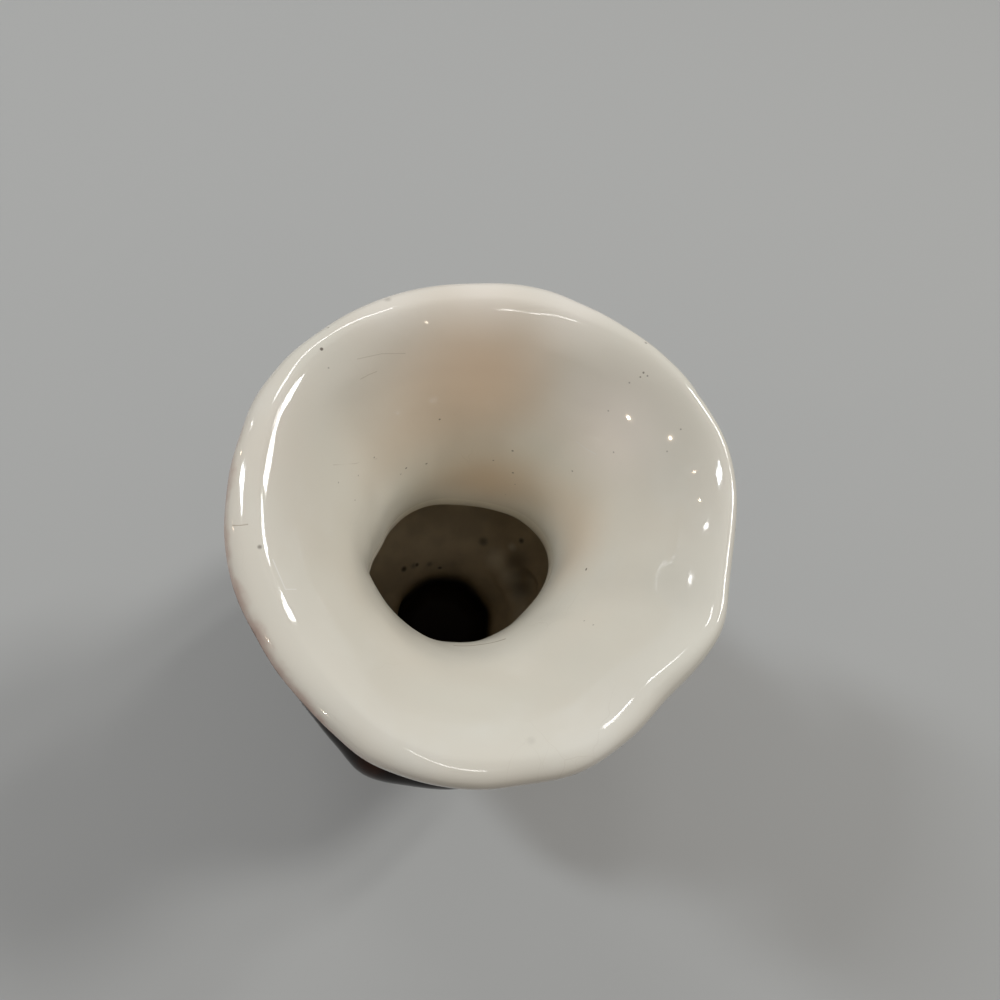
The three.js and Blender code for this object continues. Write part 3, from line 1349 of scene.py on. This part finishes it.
@dataclass(frozen=True)
class CreamGlaze:
    """Clear ivory glaze over pale clay, crazed in places and flecked with pinholes, with painted light and
    painted shade in its colour.

    Attributes:
        worn: Roughness by the throat, where the glaze starts to dull.
        dull: Roughness in the cavern below it.
        coat: Weight of the clear coat in the mouth, and deep_coat by the throat. The cavern has none.
        cavern_rise: How far above the throat the cavern's look begins.
        cavern_depth: How far below the throat it is complete.
        dull_height: How far above the throat the glaze is worn.
        dull_blend: Height over which it dulls.
        shade_top: Level below which painted shade darkens the wall, until it is black at shade_bottom.
        mark_relief: Depth of the marks in millimetres.
        mark_dullness: What a mark adds to the roughness.
        layers: Scale and height in millimetres of each layer of unevenness.
    """

    ivory: Colour = (0.70, 0.672, 0.585)
    blush: Colour = (0.70, 0.652, 0.56)
    pale: Colour = (0.74, 0.72, 0.65)
    # Painted light: the paler tone that the funnel takes on towards the throat.
    painted_light_deep: Colour = (0.84, 0.815, 0.73)
    # Painted shade: the warm, darker tone of the shaded far wall and the deep funnel.
    warm_shade: Colour = (0.74, 0.585, 0.43)
    # Painted shade: a browner, darker tone for the shaded inside of the body below the throat.
    cavern_shade_tone: Colour = (0.68, 0.57, 0.40)
    # Painted shade: the black of the deep well, where little light reaches.
    shade_black: Colour = (0.03, 0.02, 0.01)
    # Painted highlight: the pale tone of the spots along the cavern's ledge.
    glint: Colour = (0.94, 0.86, 0.70)
    # Painted light: the paler tone of soft patches on the far right wall and the top of the lip.
    painted_light_tone: Colour = (0.88, 0.82, 0.74)
    craze: Colour = (0.40, 0.33, 0.25)
    speck: Colour = (0.07, 0.045, 0.03)
    # Partly painted highlight: scratches are paler to stand in for the glint they catch.
    scratch_glint: Colour = (0.86, 0.84, 0.80)
    worn: float = 0.22
    dull: float = 0.5
    coat: float = 0.8
    deep_coat: float = 0.1
    cavern_rise: float = 0.007
    cavern_depth: float = 0.010
    dull_height: float = 0.016
    dull_blend: float = 0.018
    # Painted shade: the levels between which the well fades to black.
    shade_top: float = 0.0335
    shade_bottom: float = 0.0165
    mark_relief: float = 0.012
    mark_dullness: float = 0.3
    blush_clouds: Cloud = Cloud(34.0, 2.0, 0.36, 0.66)
    pale_clouds: Cloud = Cloud(90.0, 3.0, 0.5, 0.8, 0.0, 0.5)
    clean_clouds: Cloud = Cloud(110.0, 3.0, 0.3, 0.7, 0.75, 1.0)
    gloss_clouds: Cloud = Cloud(160.0, 3.0, 0.35, 0.75, 0.06, 0.108)
    layers: tuple[Pair, ...] = ((150.0, 0.04), (900.0, 0.003))
    pinholes: Scatter = Scatter(190.0, 0.04, 0.4, 0.4)
    crackles: tuple[Scatter, ...] = (Scatter(95.0, 0.007, 0.42, 0.14), Scatter(240.0, 0.012, 0.36, 0.10))
    # Painted shade: wide soft spots of warm shade on the far wall and down by the throat.
    warm_shade_spots: tuple[Spot, ...] = spots(
        (84, 15, 96, 34, 0.9, 0), (128, 20, 112, 34, 0.55, 0), (18, 16, 101, 30, 0.55, 0),
        (97, 23.5, 116.5, 34, 1, 0.1),
    )
    # Painted light: soft paler patches on the far right wall of the funnel and on the top of the lip.
    painted_light_spots: tuple[Spot, ...] = spots(
        (42, 23, 117, 26, 0.95, 0), (74, 33, 126.2, 20, 0.55, 0), (96, 33, 126.2, 22, 0.6, 0),
        (120, 33, 126.2, 20, 0.4, 0),
    )
    specks: tuple[Spot, ...] = spots(
        (143, 30.8, 125.7, 0.6, 0.85), (121.5, 32.2, 125.8, 1.5, 0.3, 0.1), (137.7, 32.7, 125.4, 0.4, 0.4),
        (115.5, 18.5, 112.2, 0.42, 0.7), (151.2, 18.7, 112.3, 0.36, 0.55), (138, 16.2, 104.6, 0.5, 0.7),
        (125.5, 15.8, 102.9, 0.5, 0.7), (142, 16.1, 104, 0.36, 0.5), (163.3, 19.1, 114, 0.32, 0.45),
        (145, 28.5, 124.9, 0.34, 0.4), (47.2, 29.5, 124.6, 0.4, 0.7), (45.8, 29.6, 124.6, 0.34, 0.6),
        (47, 29, 124.1, 0.34, 0.6), (48.2, 27.8, 123, 0.34, 0.45), (74, 16.7, 105.8, 0.5, 0.6),
        (83.2, 15.5, 102.5, 0.4, 0.5), (68.5, 15.2, 100.3, 0.5, 0.6), (47.2, 24.5, 119, 0.34, 0.4),
        (35, 22.5, 115.5, 0.34, 0.45), (28.5, 29.2, 123.7, 0.34, 0.45), (41.3, 18.8, 107.9, 0.4, 0.5),
        (25, 26.9, 121.4, 0.34, 0.4), (349, 17, 106.9, 0.6, 0.8), (320, 19.6, 113.8, 0.34, 0.45),
        (319.8, 20.7, 115.7, 0.34, 0.45), (281.8, 29.7, 125.2, 1.6, 0.1, 0.1),
        (198, 29.6, 126, 0.8, 0.6, 0.2), (171.8, 20.9, 117.5, 0.34, 0.4), (173.8, 18.6, 113.4, 0.34, 0.4),
        (52.2, 32.5, 126.1, 0.6, 0.5, 0.2), (359, 32.8, 125.2, 0.6, 0.55, 0.2),
    )
    # Dark marks near the well's rim and on the cavern wall, and three wide soft spots of painted shade in the
    # pocket behind the ledge.
    stains_and_shade: tuple[Spot, ...] = spots(
        (137.5, 15.1, 37.7, 2.2, 0.85, 0.2), (124.7, 14.3, 36.7, 1.6, 0.8, 0.2),
        (101, 12.5, 33.6, 1.6, 0.7, 0.2), (68.3, 19.3, 41.1, 3.6, 0.6, 0.1),
        (48.5, 23.8, 45.5, 2, 0.7, 0.2), (24, 19, 40.3, 8.5, 0.55, 0), (32, 19.8, 41.2, 9, 0.4, 0),
        (41, 20.7, 42.3, 8.5, 0.45, 0), (128, 14.5, 36.9, 2.4, 0.45, 0), (112, 13.5, 35.2, 2.6, 0.45, 0),
    )
    # Painted highlights: paler spots along the ledge in the cavern, where its ridge catches light.
    glints: tuple[Spot, ...] = spots(
        (50, 21.7, 43.6, 3.2, 1, 0), (52, 18, 40, 9, 0.6, 0), (36, 17.6, 39.9, 8, 0.75, 0),
        (20, 17.5, 39.8, 8, 0.75, 0), (4, 17.8, 40, 9, 0.75, 0),
    )
    crazes: tuple[Line, ...] = (
        Line(((137.0, 0.0271, 0.1243), (130.0, 0.0262, 0.1236), (123.0, 0.0253, 0.1225)), 0.00009, 0.45),
        Line(((139.5, 0.0251, 0.1226), (136.5, 0.0250, 0.1225), (133.8, 0.0248, 0.1223)), 0.00009, 0.45),
        Line(((167.2, 0.0220, 0.1190), (160.2, 0.0199, 0.1153), (150.3, 0.0184, 0.1116)), 0.00009, 0.35),
        Line(((191.8, 0.0325, 0.1254), (192.2, 0.0317, 0.1258), (192.2, 0.0307, 0.1260)), 0.00012, 0.80),
        Line(((262.5, 0.0153, 0.1015), (276.2, 0.0147, 0.1012), (291.0, 0.0148, 0.1020)), 0.00036, 0.95),
    )
    # Real scratches, painted paler than the glaze to stand in for the light they catch.
    scratches: tuple[Line, ...] = (
        Line(((48.7, 0.0205, 0.1127), (44.0, 0.0207, 0.1127), (39.2, 0.0212, 0.1132)), 0.00012, 0.60),
        Line(((201.5, 0.0285, 0.1255), (209.5, 0.0282, 0.1253), (210.2, 0.0271, 0.1246)), 0.00012, 0.50),
    )

    def look(self, form: VaseForm, effects: Effects, zone: Zone) -> NodeTree:
        """Builds the group that gives the glaze's looks.

        Args:
            form: The vase, for its levels and its wall.
            effects: The shared effects.
            zone: The stretch of the vase whose marks it shows.

        Returns:
            A group with the input Place and the outputs Colour, Roughness, Height and Coat.
        """
        tree = LookTree(f"cream_glaze_{zone.value}", effects, {}, {"Coat": VALUE})
        place = tree.place
        level = tree.add("SeparateXYZ", {0: place}).outputs[2]
        worn_level = form.throat + self.dull_height
        cavern = tree.between(level, form.throat + self.cavern_rise, form.throat - self.cavern_depth)
        tone = tree.mix(tree.cloud(place, self.blush_clouds), self.ivory, self.blush)
        tone = tree.mix(tree.cloud(place, self.pale_clouds), tone, self.pale)
        # Painted light: the funnel turns paler from the seat of the lip down towards the throat, lifting the
        # shade deep inside it.
        tone = tree.mix(tree.between(level, form.seat, worn_level), tone, self.painted_light_deep)
        # Painted shade: warm soft spots where the funnel's far wall and throat lie in shade.
        for flush in self.warm_shade_spots:
            tone = tree.mix(tree.spot(flush), tone, self.warm_shade)
        # Painted shade: below the throat the glaze turns browner and darker, for the shade inside the body.
        tone = tree.mix(cavern, tone, self.cavern_shade_tone)
        in_mouth = zone is Zone.MOUTH
        cracks = [tree.scattered(effects.crazing, crackle) for crackle in self.crackles]
        cracks = tree.strongest(cracks + tree.lines(self.crazes if in_mouth else (), form))
        tone = tree.mix(cracks, tone, self.craze)
        # Painted light: paler soft patches in the mouth; painted highlights: paler spots along the ledge in
        # the cavern.
        colour, light_spots = (self.painted_light_tone, self.painted_light_spots) if in_mouth else (self.glint, self.glints)
        for cloud in light_spots:
            tone = tree.mix(tree.spot(cloud), tone, colour)
        if in_mouth:
            dots = [tree.spot(speck, on_wall(form, *speck.place)) for speck in self.specks]
        else:
            # Dark marks, and painted shade in the pocket, in the cavern.
            dots = [tree.spot(stain) for stain in self.stains_and_shade]
        dots = tree.strongest([tree.scattered(effects.specks, self.pinholes), *dots])
        tone = tree.mix(dots, tone, self.speck)
        marks = [cracks, dots]
        if in_mouth:
            # Scratches, painted pale for the glint they catch.
            marks.append(tree.strongest(tree.lines(self.scratches, form)))
            tone = tree.mix(marks[-1], tone, self.scratch_glint)
        # Cloudy stains in the cavern, which join the painted shade below.
        stains_and_shade = tree.times(tree.math("SUBTRACT", 1.0, tree.cloud(place, self.clean_clouds)), cavern)
        # Painted shade: the wall darkens to black down the well, with the cloudy stains of the cavern added
        # in.
        painted_shade = tree.math("ADD", tree.between(level, self.shade_top, self.shade_bottom), stains_and_shade, clamp=True)
        tone = tree.mix(painted_shade, tone, self.shade_black)
        marked = tree.strongest(marks)
        deep = tree.between(level, worn_level + self.dull_blend, worn_level)
        rough = tree.math("MULTIPLY_ADD", marked, self.mark_dullness, tree.cloud(place, self.gloss_clouds))
        rough = tree.blend(cavern, tree.blend(deep, rough, self.worn), self.dull)
        relief = tree.math("ADD", *tree.unevenness(*self.layers))
        height = tree.math("SUBTRACT", relief, tree.times(marked, self.mark_relief))
        coat = tree.blend(cavern, tree.blend(deep, self.coat, self.deep_coat), 0.0)
        return tree.put_out(tone, rough, height, coat)


@dataclass(frozen=True)
class DarkGlaze:
    """Brown-black glaze that breaks to red-brown on edges and shows faint vertical runs.

    Attributes:
        run_scale: Scale of the runs.
        run_height: Their height in millimetres.
        brown_band: Values of the runs between which black turns to brown.
        thin_band: Values of the runs between which the glaze on a ridge thins, from and to the given shares.
        layer: Scale and height in millimetres of the fine unevenness.
    """

    black: Colour = (0.005, 0.0028, 0.002)
    brown: Colour = (0.014, 0.0065, 0.004)
    rust: Colour = (0.11, 0.036, 0.015)
    blush: Colour = (0.52, 0.40, 0.335)
    fleck: Colour = (0.10, 0.065, 0.045)
    run_scale: float = 170.0
    run_height: float = 0.05
    brown_band: tuple[float, ...] = (0.42, 0.72)
    thin_band: tuple[float, ...] = (0.3, 0.65, 0.08, 0.5)
    ridge_clouds: Cloud = Cloud(45.0, 2.0, 0.25, 0.6, 0.35, 1.0)
    gloss_clouds: Cloud = Cloud(45.0, 2.0, 0.3, 0.75, 0.07, 0.126)
    flecks: Scatter = Scatter(600.0, 0.16, 0.25, 0.3)
    layer: Pair = (520.0, 0.008)

    def look(self, effects: Effects) -> NodeTree:
        """Builds the group that gives the glaze's looks.

        Args:
            effects: The shared effects.

        Returns:
            A group with the inputs Place and Ridge and the outputs Colour, Roughness and Height.
        """
        tree = LookTree("dark_glaze_look", effects, {"Ridge": VALUE}, {})
        place, ridge = tree.given
        runs = tree.group(effects.runs, {"Place": place, "Scale": self.run_scale})[0]
        tone = tree.mix(tree.between(runs, *self.brown_band), self.black, self.brown)
        edge = tree.times(tree.cloud(place, self.ridge_clouds), ridge)
        thin = tree.math("MULTIPLY", edge, tree.between(runs, *self.thin_band), clamp=True)
        tone = tree.mix(thin, tone, self.rust)
        tone = tree.mix(tree.scattered(effects.specks, self.flecks), tone, self.fleck)
        height = tree.math("ADD", tree.times(runs, self.run_height), *tree.unevenness(self.layer))
        return tree.put_out(tone, tree.cloud(place, self.gloss_clouds), height)


@dataclass(frozen=True)
class BareClay:
    """Matt buff clay with grain, dark grog and a faint brown flush.

    Attributes:
        grain: Scale, detail and roughness of the grain's noise.
        grain_height: Its height in millimetres.
        sandy_band: Values of the grain between which buff turns to sandy.
        rough_band: Values of the grain between which the roughness goes from the first share to the second.
    """

    buff: Colour = (0.47, 0.34, 0.215)
    sandy: Colour = (0.56, 0.43, 0.29)
    flush: Colour = (0.34, 0.20, 0.11)
    grog: Colour = (0.12, 0.08, 0.055)
    grain: Point = (1400.0, 3.0, 0.65)
    grain_height: float = 0.06
    sandy_band: tuple[float, ...] = (0.35, 0.7)
    rough_band: tuple[float, ...] = (0.3, 0.7, 0.77, 0.93)
    flush_clouds: Cloud = Cloud(80.0, 2.0, 0.45, 0.7, 0.0, 0.6)
    grogs: Scatter = Scatter(700.0, 0.28, 0.3, 0.7)

    def look(self, effects: Effects) -> NodeTree:
        """Builds the group that gives the clay's looks.

        Args:
            effects: The shared effects.

        Returns:
            A group with the input Place and the outputs Colour, Roughness and Height.
        """
        tree = LookTree("bare_clay_look", effects, {}, {})
        grain = tree.noise(tree.place, *self.grain)
        tone = tree.mix(tree.between(grain, *self.sandy_band), self.buff, self.sandy)
        tone = tree.mix(tree.cloud(tree.place, self.flush_clouds), tone, self.flush)
        tone = tree.mix(tree.scattered(effects.specks, self.grogs), tone, self.grog)
        return tree.put_out(tone, tree.between(grain, *self.rough_band), tree.times(grain, self.grain_height))


class Coat(Enum):
    """Which finishes a material lays over each other."""

    GLAZES = "cream and dark glaze"
    GLAZES_AND_CLAY = "cream and dark glaze with bare clay"
    CLAY = "bare clay"


@dataclass
class Kiln:
    """Makes the fired materials from the three finishes, each of whose looks is built once.

    Attributes:
        glaze_sheen: Specular level of the glazes, and clay_sheen of the clay.
        coat_roughness: Roughness of the clear coat, which only the cream glaze has.
        index: Refractive index of the glaze.
        stir: Scale and detail of the noise by which the two glazes run into each other.
        stir_strength: How far they run, as a share of the way from cream to dark.
        stir_onset: Share of the way from either glaze over which the stir sets in.
        edge_grain: Scale and strength of the grain by which the bare clay ends, and how far it is lowered.
        bare_band: Values between which the clay shows through.
        blush_band, rust_band, dark_band: Shares of the way from cream to dark where each colour comes in.
        coat_band: The shares where the clear coat fades out.
    """

    form: VaseForm
    cream: CreamGlaze
    dark: DarkGlaze
    clay: BareClay
    glaze_sheen: float = 0.09
    clay_sheen: float = 0.3
    coat_roughness: float = 0.05
    index: float = 1.52
    stir: Pair = (330.0, 3.0)
    stir_strength: float = 0.5
    stir_onset: float = 0.1
    edge_grain: Point = (400.0, 0.5, 0.25)
    bare_band: Pair = (0.3, 0.7)
    blush_band: Pair = (0.04, 0.40)
    rust_band: Pair = (0.38, 0.62)
    dark_band: Pair = (0.56, 0.80)
    coat_band: Pair = (0.1, 0.6)

    def __post_init__(self) -> None:
        """Builds the groups that the materials share."""
        effects = Effects()
        self.cream_looks = {zone: self.cream.look(self.form, effects, zone) for zone in Zone}
        self.dark_look = self.dark.look(effects)
        self.clay_look = self.clay.look(effects)

    def material(self, name: str, coat: Coat, zone: Zone = Zone.CAVERN) -> bpy.types.Material:
        """Makes a material.

        Args:
            name: The material's name.
            coat: The finishes that it lays over each other.
            zone: The stretch of the vase that it covers.

        Returns:
            The material.
        """
        material = bpy.data.materials.new(name)
        material.use_nodes = True
        tree = Tree(material.node_tree)
        place = tree.add("TexCoord").outputs["Object"]
        shine = 0.0
        clay = () if coat is Coat.GLAZES else tree.group(self.clay_look, {"Place": place})
        if coat is Coat.CLAY:
            tone, rough, height = clay
        else:
            tone, rough, height, shine = self._glazes(tree, place, zone)
        if coat is Coat.GLAZES_AND_CLAY:
            bare = self._bareness(tree, place)
            tone = tree.mix(bare, tone, clay[0])
            rough, height = tree.blend(bare, rough, clay[1]), tree.blend(bare, height, clay[2])
        relief = tree.add("Bump", {"Strength": 1.0, "Distance": MILLIMETRE, "Height": height})
        shader = tree.add(
            "BsdfPrincipled",
            {
                "Base Color": tone,
                "Roughness": rough,
                "IOR": self.index,
                "Specular IOR Level": self.clay_sheen if coat is Coat.CLAY else self.glaze_sheen,
                "Coat Weight": shine,
                "Coat Roughness": self.coat_roughness,
                "Normal": relief.outputs[0],
            },
        )
        tree.add("OutputMaterial", {"Surface": shader.outputs[0]})
        return material

    def _bareness(self, tree: Tree, place: Socket) -> Socket:
        """How far the clay shows, from the mesh's own value with a grainy edge.

        Args:
            tree: The material's tree.
            place: Position in the vase.

        Returns:
            A mask.
        """
        scale, strength, lowering = self.edge_grain
        bare = tree.add("Attribute", attribute_name="bare").outputs["Fac"]
        bare = tree.math("SUBTRACT", bare, lowering)
        grainy = tree.math("MULTIPLY_ADD", tree.noise(place, scale), strength, bare)
        return tree.between(grainy, *self.bare_band)

    def _glazes(self, tree: Tree, place: Socket, zone: Zone) -> tuple[Socket, Socket, Socket, Socket]:
        """Lays the dark glaze over the cream one, with a blush and a rust line where they meet.

        Args:
            tree: The material's tree.
            place: Position in the vase.
            zone: The stretch of the vase that the material covers.

        Returns:
            Colour, roughness, height and weight of the clear coat.
        """
        ridge = tree.add("Attribute", attribute_name="ridge").outputs["Fac"]
        cover = tree.add("Attribute", attribute_name="dark").outputs["Fac"]
        cream = tree.group(self.cream_looks[zone], {"Place": place})
        dark = tree.group(self.dark_look, {"Place": place, "Ridge": ridge})
        stir = tree.math("SUBTRACT", tree.noise(place, *self.stir), 0.5)
        meeting = tree.between(tree.math("PINGPONG", cover, 0.5), 0.0, self.stir_onset)
        meeting = tree.times(tree.times(stir, self.stir_strength), meeting)
        cover = tree.math("ADD", cover, meeting, clamp=True)
        tone = tree.mix(tree.between(cover, *self.blush_band), cream[0], self.dark.blush)
        tone = tree.mix(tree.between(cover, *self.rust_band), tone, self.dark.rust)
        tone = tree.mix(tree.between(cover, *self.dark_band), tone, dark[0])
        coat = tree.blend(tree.between(cover, *self.coat_band), cream[3], 0.0)
        return tone, tree.blend(cover, cream[1], dark[1]), tree.blend(cover, cream[2], dark[2]), coat


DAYLIGHT: Colour = (1.0, 1.0, 0.985)
LAMPLIGHT: Colour = (1.0, 0.80, 0.58)


@dataclass(frozen=True)
class Lamp:
    """A soft lamp that faces the middle of the vase's mouth.

    Attributes:
        name: The lamp's name.
        azimuth: Where it stands round the vase.
        elevation: Its angle above the horizon.
        width: Its width, across the line to the mouth.
        height: Its height.
        power: Its power in watts.
        colour: Its colour.
        distance: Its distance from the mouth.
    """

    name: str
    azimuth: float
    elevation: float
    width: float
    height: float
    power: float
    colour: Colour = (1.0, 1.0, 1.0)
    distance: float = 0.8

    def light(self, target: Array) -> bpy.types.Object:
        """Makes the lamp.

        Args:
            target: The point that it faces, at its distance from there.

        Returns:
            The lamp.
        """
        data = bpy.data.lights.new(self.name, "AREA")
        data.shape = "RECTANGLE"
        data.size, data.size_y = self.width, self.height
        data.energy, data.color = self.power, self.colour
        lamp = in_scene(self.name, data)
        azimuth = math.radians(self.azimuth)
        back = np.array(way_to(self.azimuth, self.elevation))
        across = np.array([-math.sin(azimuth), math.cos(azimuth), 0.0])
        lamp.matrix_world = placed(across, np.cross(back, across), back, target + back * self.distance)
        lamp.visible_camera = False
        return lamp


def way_to(azimuth: float, elevation: float) -> Point:
    """The unit vector to an azimuth and an elevation in degrees."""
    turn, rise = math.radians(azimuth), math.radians(elevation)
    return math.cos(turn) * math.cos(rise), math.sin(turn) * math.cos(rise), math.sin(rise)


def placed(x: Array, y: Array, z: Array, origin: Array) -> Matrix:
    """A matrix whose columns are three axes and an origin."""
    columns = np.vstack([np.column_stack([x, y, z, origin]), [0.0, 0.0, 0.0, 1.0]])
    return Matrix(columns.tolist())


@dataclass(frozen=True)
class ViewPoint:
    """Where the photograph was taken from, in terms of the vase's mouth.

    Attributes:
        focal_share: Focal length over the picture's width.
        sensor: Width of the sensor in millimetres, as the camera's data holds it.
        tilt: Angle between the line of sight and the vase's axis.
        tilt_way: Direction in the picture, clockwise from its right, in which the axis leans away.
        spin: Turn of the vase about its own axis.
        distance: Distance from the lens to the rim's plane, along the line of sight.
        across: Offset of the mouth's middle to the right, over the distance.
        down: Its offset down, over the distance.
        rim_drop: How far below the top the rim's outline was measured.
        clip: Nearest and furthest distance that is shown.
    """

    focal_share: float = 0.751
    sensor: float = 36.0
    tilt: float = 20.0
    tilt_way: float = 114.0
    spin: float = 3.5
    distance: float = 0.09858
    across: float = -0.00821
    down: float = 0.00661
    rim_drop: float = 0.0025
    clip: Pair = (0.0019716, 20.0)

    def camera(self, form: VaseForm) -> bpy.types.Object:
        """Makes the camera.

        Formula: the vase's up axis, seen from the camera, is the line of sight tilted and reversed. The other
        two axes are square to it, with the first as near to the picture's right as it can be, and then both
        are spun. The camera stands where these axes put the mouth at its offset and distance.

        Args:
            form: The vase.

        Returns:
            The camera object.
        """
        tilt, way, spin = (math.radians(value) for value in (self.tilt, self.tilt_way, self.spin))
        away = np.array([math.sin(tilt) * math.cos(way), math.sin(tilt) * math.sin(way), math.cos(tilt)])
        up = -away
        right = np.array([1.0, 0.0, 0.0]) - away[0] * away
        right /= np.linalg.norm(right)
        side = np.cross(up, right)
        x = right * math.cos(spin) - side * math.sin(spin)
        y = right * math.sin(spin) + side * math.cos(spin)
        seen = np.column_stack([x, y, up])
        mouth = self.distance * np.array([self.across, self.down, 1.0])
        origin = -seen.T @ (mouth - seen @ np.array([0.0, 0.0, form.top - self.rim_drop]))
        data = bpy.data.cameras.new("photo_camera")
        data.sensor_width = self.sensor
        data.lens = self.focal_share * self.sensor
        data.clip_start, data.clip_end = self.clip
        camera = in_scene("photo_camera", data)
        camera.matrix_world = placed(seen[0], -seen[1], -seen[2], origin)
        bpy.context.scene.camera = camera
        return camera


@dataclass
class Studio:
    """The plain pale floor, the soft lamps, the light from all round and the camera.

    The light from all round is brightest and cool on one side, and dimmest and warm on the other.
    """

    form: VaseForm
    view: ViewPoint = ViewPoint()
    floor_size: float = 6.0
    floor_colour: Colour = (0.475, 0.48, 0.47)
    floor_roughness: float = 0.95
    floor_sheen: float = 0.1
    bright_azimuth: float = 95.0
    bright_elevation: float = 35.0
    bright: Colour = (0.27, 0.27, 0.275)
    dim: Colour = (0.15, 0.115, 0.09)
    pale: Colour = (0.62, 0.63, 0.63)
    shaded: Colour = (0.28, 0.27, 0.26)
    lamps: tuple[Lamp, ...] = (
        Lamp("key_window", 27, 50, 0.12, 0.16, 2.02, DAYLIGHT),
        Lamp("key_window_second_pane", 42.5, 50, 0.05, 0.17, 0.75, DAYLIGHT),
        Lamp("side_window", 160, 44, 0.07, 0.19, 2.06, (0.90, 0.95, 1.0)),
        Lamp("far_window", 112, 50, 0.21, 0.05, 0.46),
        Lamp("ceiling_strip", 290, 72, 0.012, 0.28, 0.16, (1.0, 0.99, 0.97)),
        Lamp("small_lamp_left", 206, 26, 0.014, 0.014, 0.085, LAMPLIGHT),
        Lamp("small_lamp_low_left", 224, 18, 0.014, 0.014, 0.085, LAMPLIGHT),
        Lamp("small_lamp_far_left", 175, 22, 0.016, 0.016, 0.050, (1.0, 0.70, 0.50)),
        Lamp("small_lamp_side", 157, 15, 0.014, 0.014, 0.040, (1.0, 0.76, 0.56)),
        Lamp("small_lamp_near", 309, 46, 0.014, 0.014, 0.035, (1.0, 0.84, 0.66)),
        Lamp("small_lamp_bar", 150, 21, 0.010, 0.045, 0.060),
    )

    def build(self) -> None:
        """Makes all of it."""
        self._floor()
        self._world()
        target = np.array([0.0, 0.0, self.form.top])
        for lamp in self.lamps:
            lamp.light(target)
        self.view.camera(self.form)

    def _floor(self) -> None:
        """Makes the floor: one flat square under the vase, matt and pale."""
        half = self.floor_size / 2
        mesh = bpy.data.meshes.new("floor")
        corners = [(-half, -half, 0), (half, -half, 0), (half, half, 0), (-half, half, 0)]
        mesh.from_pydata(corners, [], [(0, 1, 2, 3)])
        material = bpy.data.materials.new("floor")
        material.use_nodes = True
        tree = Tree(material.node_tree)
        matt = {"Roughness": self.floor_roughness, "Specular IOR Level": self.floor_sheen}
        shader = tree.add("BsdfPrincipled", {"Base Color": self.floor_colour} | matt)
        tree.add("OutputMaterial", {"Surface": shader.outputs[0]})
        mesh.materials.append(material)
        floor = in_scene("floor", mesh)

    def _world(self) -> None:
        """Makes the light from all round, and the pale background that is seen and mirrored.

        Formula: the share of the bright colour follows the cosine of the turn from the bright side.
        """
        world = bpy.data.worlds.new("studio")
        world.use_nodes = True
        bpy.context.scene.world = world
        tree = Tree(world.node_tree)
        bright_way = way_to(self.bright_azimuth, self.bright_elevation)
        way = tree.add("TexCoord").outputs["Generated"]
        toward = tree.vector("DOT_PRODUCT", way, bright_way, output="Value")
        share = tree.math("MULTIPLY_ADD", toward, 0.5, 0.5, clamp=True)
        lit = tree.add("Background", {"Color": tree.mix(share, self.dim, self.bright), "Strength": 1.0})
        plain = tree.add("Background", {"Color": tree.mix(share, self.shaded, self.pale), "Strength": 1.0})
        rays = tree.add("LightPath").outputs
        seen = tree.math("MAXIMUM", rays["Is Camera Ray"], rays["Is Glossy Ray"])
        seen = tree.math("MAXIMUM", seen, rays["Is Transmission Ray"])
        both = tree.add("MixShader", {0: seen, 1: lit.outputs[0], 2: plain.outputs[0]})
        tree.add("OutputWorld", {"Surface": both.outputs[0]})


def main() -> None:
    """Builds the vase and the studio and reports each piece."""
    logging.basicConfig(level=logging.INFO, format="%(name)s: %(message)s")
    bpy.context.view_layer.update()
    scene = bpy.context.scene
    scene.view_settings.view_transform = "Standard"
    form = VaseForm.from_frame()
    kiln = Kiln(form, CreamGlaze(), DarkGlaze(), BareClay())
    mouth_glaze = kiln.material("mouth_glaze", Coat.GLAZES, Zone.MOUTH)
    body_glaze = kiln.material("body_glaze", Coat.GLAZES)
    foot_glaze = kiln.material("foot_glaze", Coat.GLAZES_AND_CLAY)
    clay = kiln.material("bare_clay", Coat.CLAY)
    sections = [
        (FootRing(form), clay),
        (PedestalFoot(form), foot_glaze),
        (PanelledBody(form), body_glaze),
        (TrumpetMouth(form), mouth_glaze),
        (LipCoil(form), mouth_glaze),
    ]
    for section, material in sections:
        section.build().data.materials.append(material)
    Studio(form).build()


if __name__ == "__main__":
    main()
